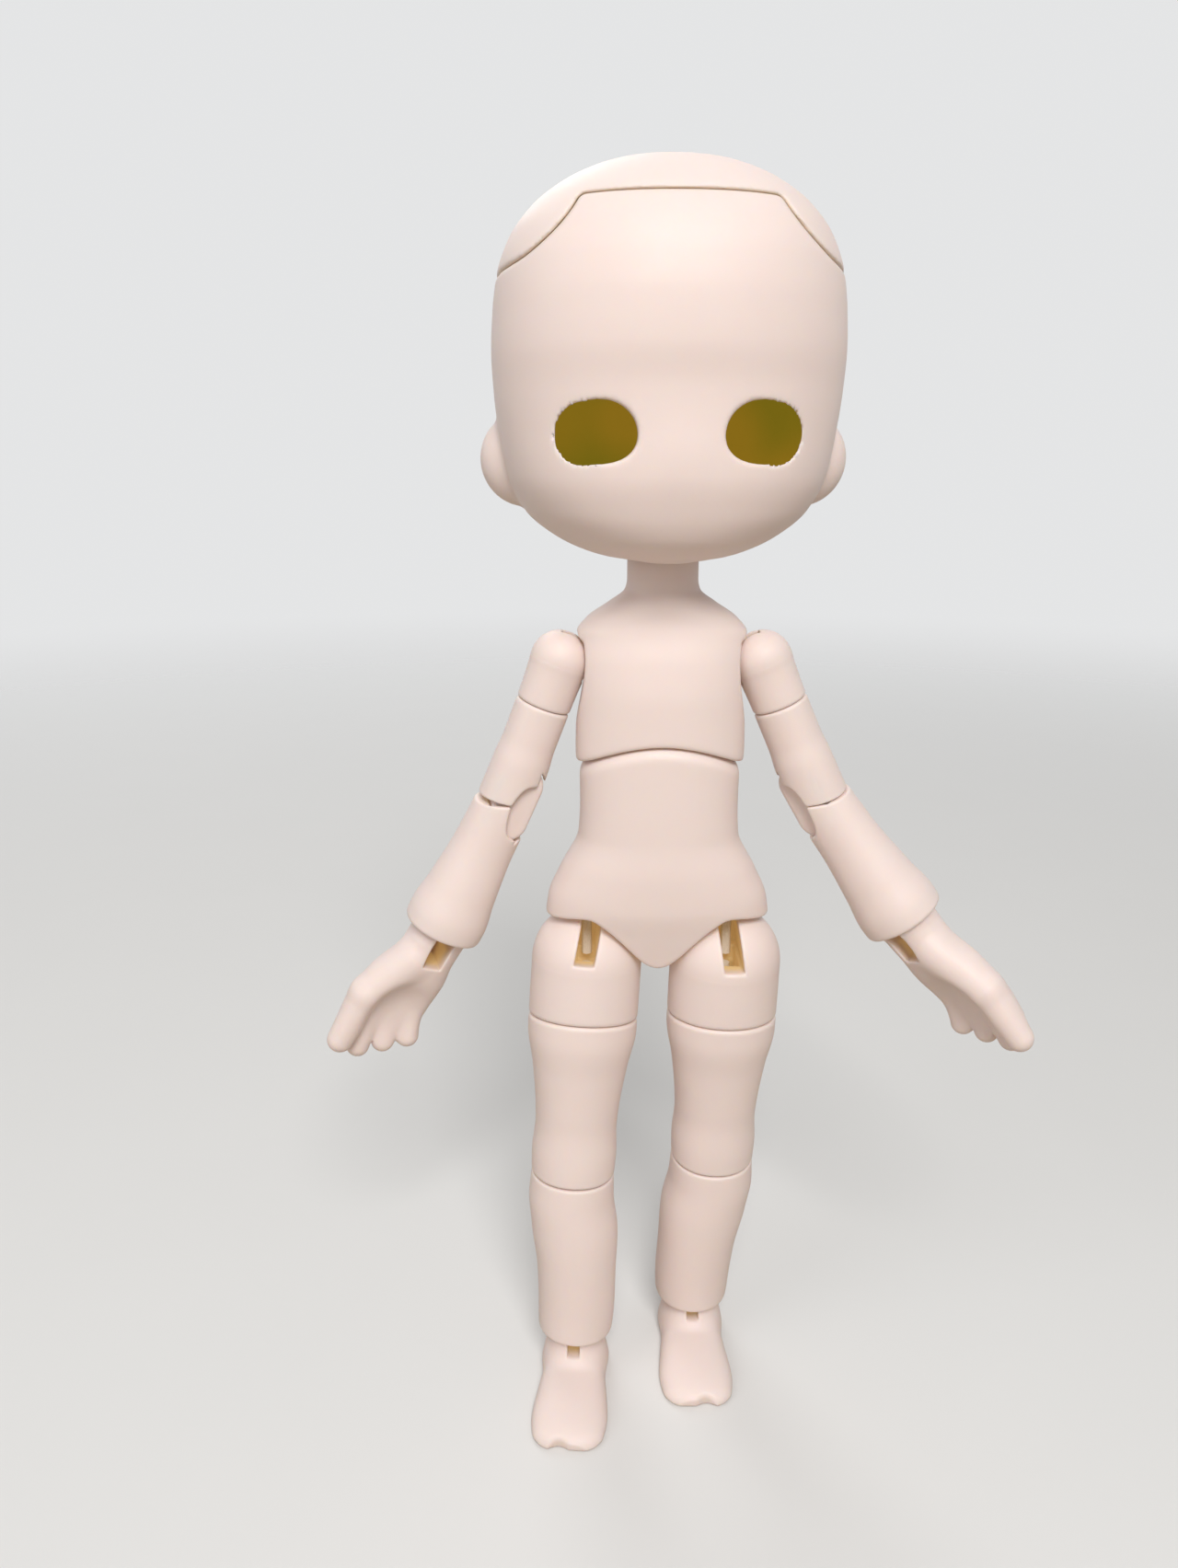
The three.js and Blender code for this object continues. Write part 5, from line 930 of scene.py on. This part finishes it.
# The CAD nodes that no surface replaces: cords, hooks and magnets
for name, obj in frame["nodes"].items():
    if not obj.hide_render:
        look = elastic if "cord" in name else steel if "hook" in name else nickel
        obj.data.materials.clear()
        obj.data.materials.append(look)
        for face in obj.data.polygons:
            face.use_smooth = True

# Floor, light and camera
FLOOR_RADIUS, FADE_START, FADE_END = 1.6, 0.12, 0.9      # in metres: the floor fades into the backdrop
WARM_FLOOR, ROOM_LIGHT, BACKDROP = (0.42, 0.36, 0.29, 1), (1.0, 0.985, 0.96, 1), (0.78, 0.785, 0.79, 1)
CAMERA_PLACE, CAMERA_DOWN, FOCAL, PHOTO_HEIGHT, SENSOR = (-9.0, -136.7, 126.3), 16, 1200, 1704, 36
bpy.ops.mesh.primitive_circle_add(vertices=96, radius=FLOOR_RADIUS, fill_type="NGON", location=(0, 0, 0))
floor = bpy.context.object
floor.name = "floor"
floor_look = plain_material("pale_floor", (0.76, 0.76, 0.755), roughness=0.8, grain=30, strength=0.0,
                            spread=0.01)
nodes, links = floor_look.node_tree.nodes, floor_look.node_tree.links
away = nodes.new("ShaderNodeVectorMath")
away.operation = "LENGTH"
links.new(nodes.new("ShaderNodeTexCoord").outputs["Object"], away.inputs[0])
seen = nodes.new("ShaderNodeLightPath")
tint = nodes.new("ShaderNodeMix")
tint.data_type = "RGBA"
tint.inputs["A"].default_value = WARM_FLOOR
floor_bsdf = next(n for n in nodes if n.type == "BSDF_PRINCIPLED")
links.new(floor_bsdf.inputs["Base Color"].links[0].from_socket, tint.inputs["B"])
links.new(seen.outputs["Is Camera Ray"], tint.inputs["Factor"])
links.new(tint.outputs["Result"], floor_bsdf.inputs["Base Color"])
fade = nodes.new("ShaderNodeMapRange")
fade.interpolation_type = "SMOOTHSTEP"
fade.inputs["From Min"].default_value, fade.inputs["From Max"].default_value = FADE_START, FADE_END
links.new(away.outputs["Value"], fade.inputs["Value"])
blend = nodes.new("ShaderNodeMixShader")
links.new(fade.outputs["Result"], blend.inputs["Fac"])
links.new(floor_bsdf.outputs["BSDF"], blend.inputs[1])
links.new(nodes.new("ShaderNodeBsdfTransparent").outputs["BSDF"], blend.inputs[2])
links.new(blend.outputs["Shader"], next(n for n in nodes if n.type == "OUTPUT_MATERIAL").inputs["Surface"])
floor.data.materials.append(floor_look)

world = bpy.data.worlds.new("soft_room")
bpy.context.scene.world = world
world.use_nodes = True
nodes, links = world.node_tree.nodes, world.node_tree.links
room = nodes["Background"]
room.inputs["Color"].default_value = ROOM_LIGHT
room.inputs["Strength"].default_value = 0.36
backdrop = nodes.new("ShaderNodeBackground")
backdrop.inputs["Color"].default_value = BACKDROP
backdrop.inputs["Strength"].default_value = 1.0
path = nodes.new("ShaderNodeLightPath")
seen = nodes.new("ShaderNodeMath")
seen.operation = "ADD"
links.new(path.outputs["Is Camera Ray"], seen.inputs[0])
links.new(path.outputs["Is Glossy Ray"], seen.inputs[1])
seen_too = nodes.new("ShaderNodeMath")
seen_too.operation = "ADD"
seen_too.use_clamp = True
links.new(seen.outputs["Value"], seen_too.inputs[0])
links.new(path.outputs["Is Transmission Ray"], seen_too.inputs[1])
either = nodes.new("ShaderNodeMixShader")
links.new(seen_too.outputs["Value"], either.inputs["Fac"])
links.new(room.outputs["Background"], either.inputs[1])
links.new(backdrop.outputs["Background"], either.inputs[2])
links.new(either.outputs["Shader"], nodes["World Output"].inputs["Surface"])


def lamp(name, place, target, size, power, color=(1, 1, 1)):
    data = bpy.data.lights.new(name, "AREA")
    data.shape = "DISK"
    data.size, data.energy, data.color = size, power, color
    obj = bpy.data.objects.new(name, data)
    bpy.context.scene.collection.objects.link(obj)
    obj.location = place
    direction = Vector(target) - Vector(place)
    obj.rotation_mode = "QUATERNION"
    obj.rotation_quaternion = direction.to_track_quat("-Z", "Y")


lamp("key", (0.06, -0.6, 0.64), target=(0, 0, 0.08), size=0.35, power=4.85, color=(1.0, 0.985, 0.965))
lamp("fill", (-0.6, -0.4, 0.5), target=(0, 0, 0.08), size=0.5, power=0.9)
lamp("rim", (-0.2, 0.6, 0.6), target=(0, 0, 0.1), size=0.4, power=1.2)

data = bpy.data.cameras.new("camera")
data.sensor_width = SENSOR
data.lens = SENSOR * FOCAL / PHOTO_HEIGHT
camera = bpy.data.objects.new("camera", data)
bpy.context.scene.collection.objects.link(camera)
camera.location = (np.array(CAMERA_PLACE) + shift[:3, 3]) * MM
camera.rotation_euler = (rad(90 - CAMERA_DOWN), 0, 0)
data.clip_start, data.clip_end = 0.005, 20
bpy.context.scene.camera = camera

bpy.context.scene.view_settings.view_transform = "Standard"
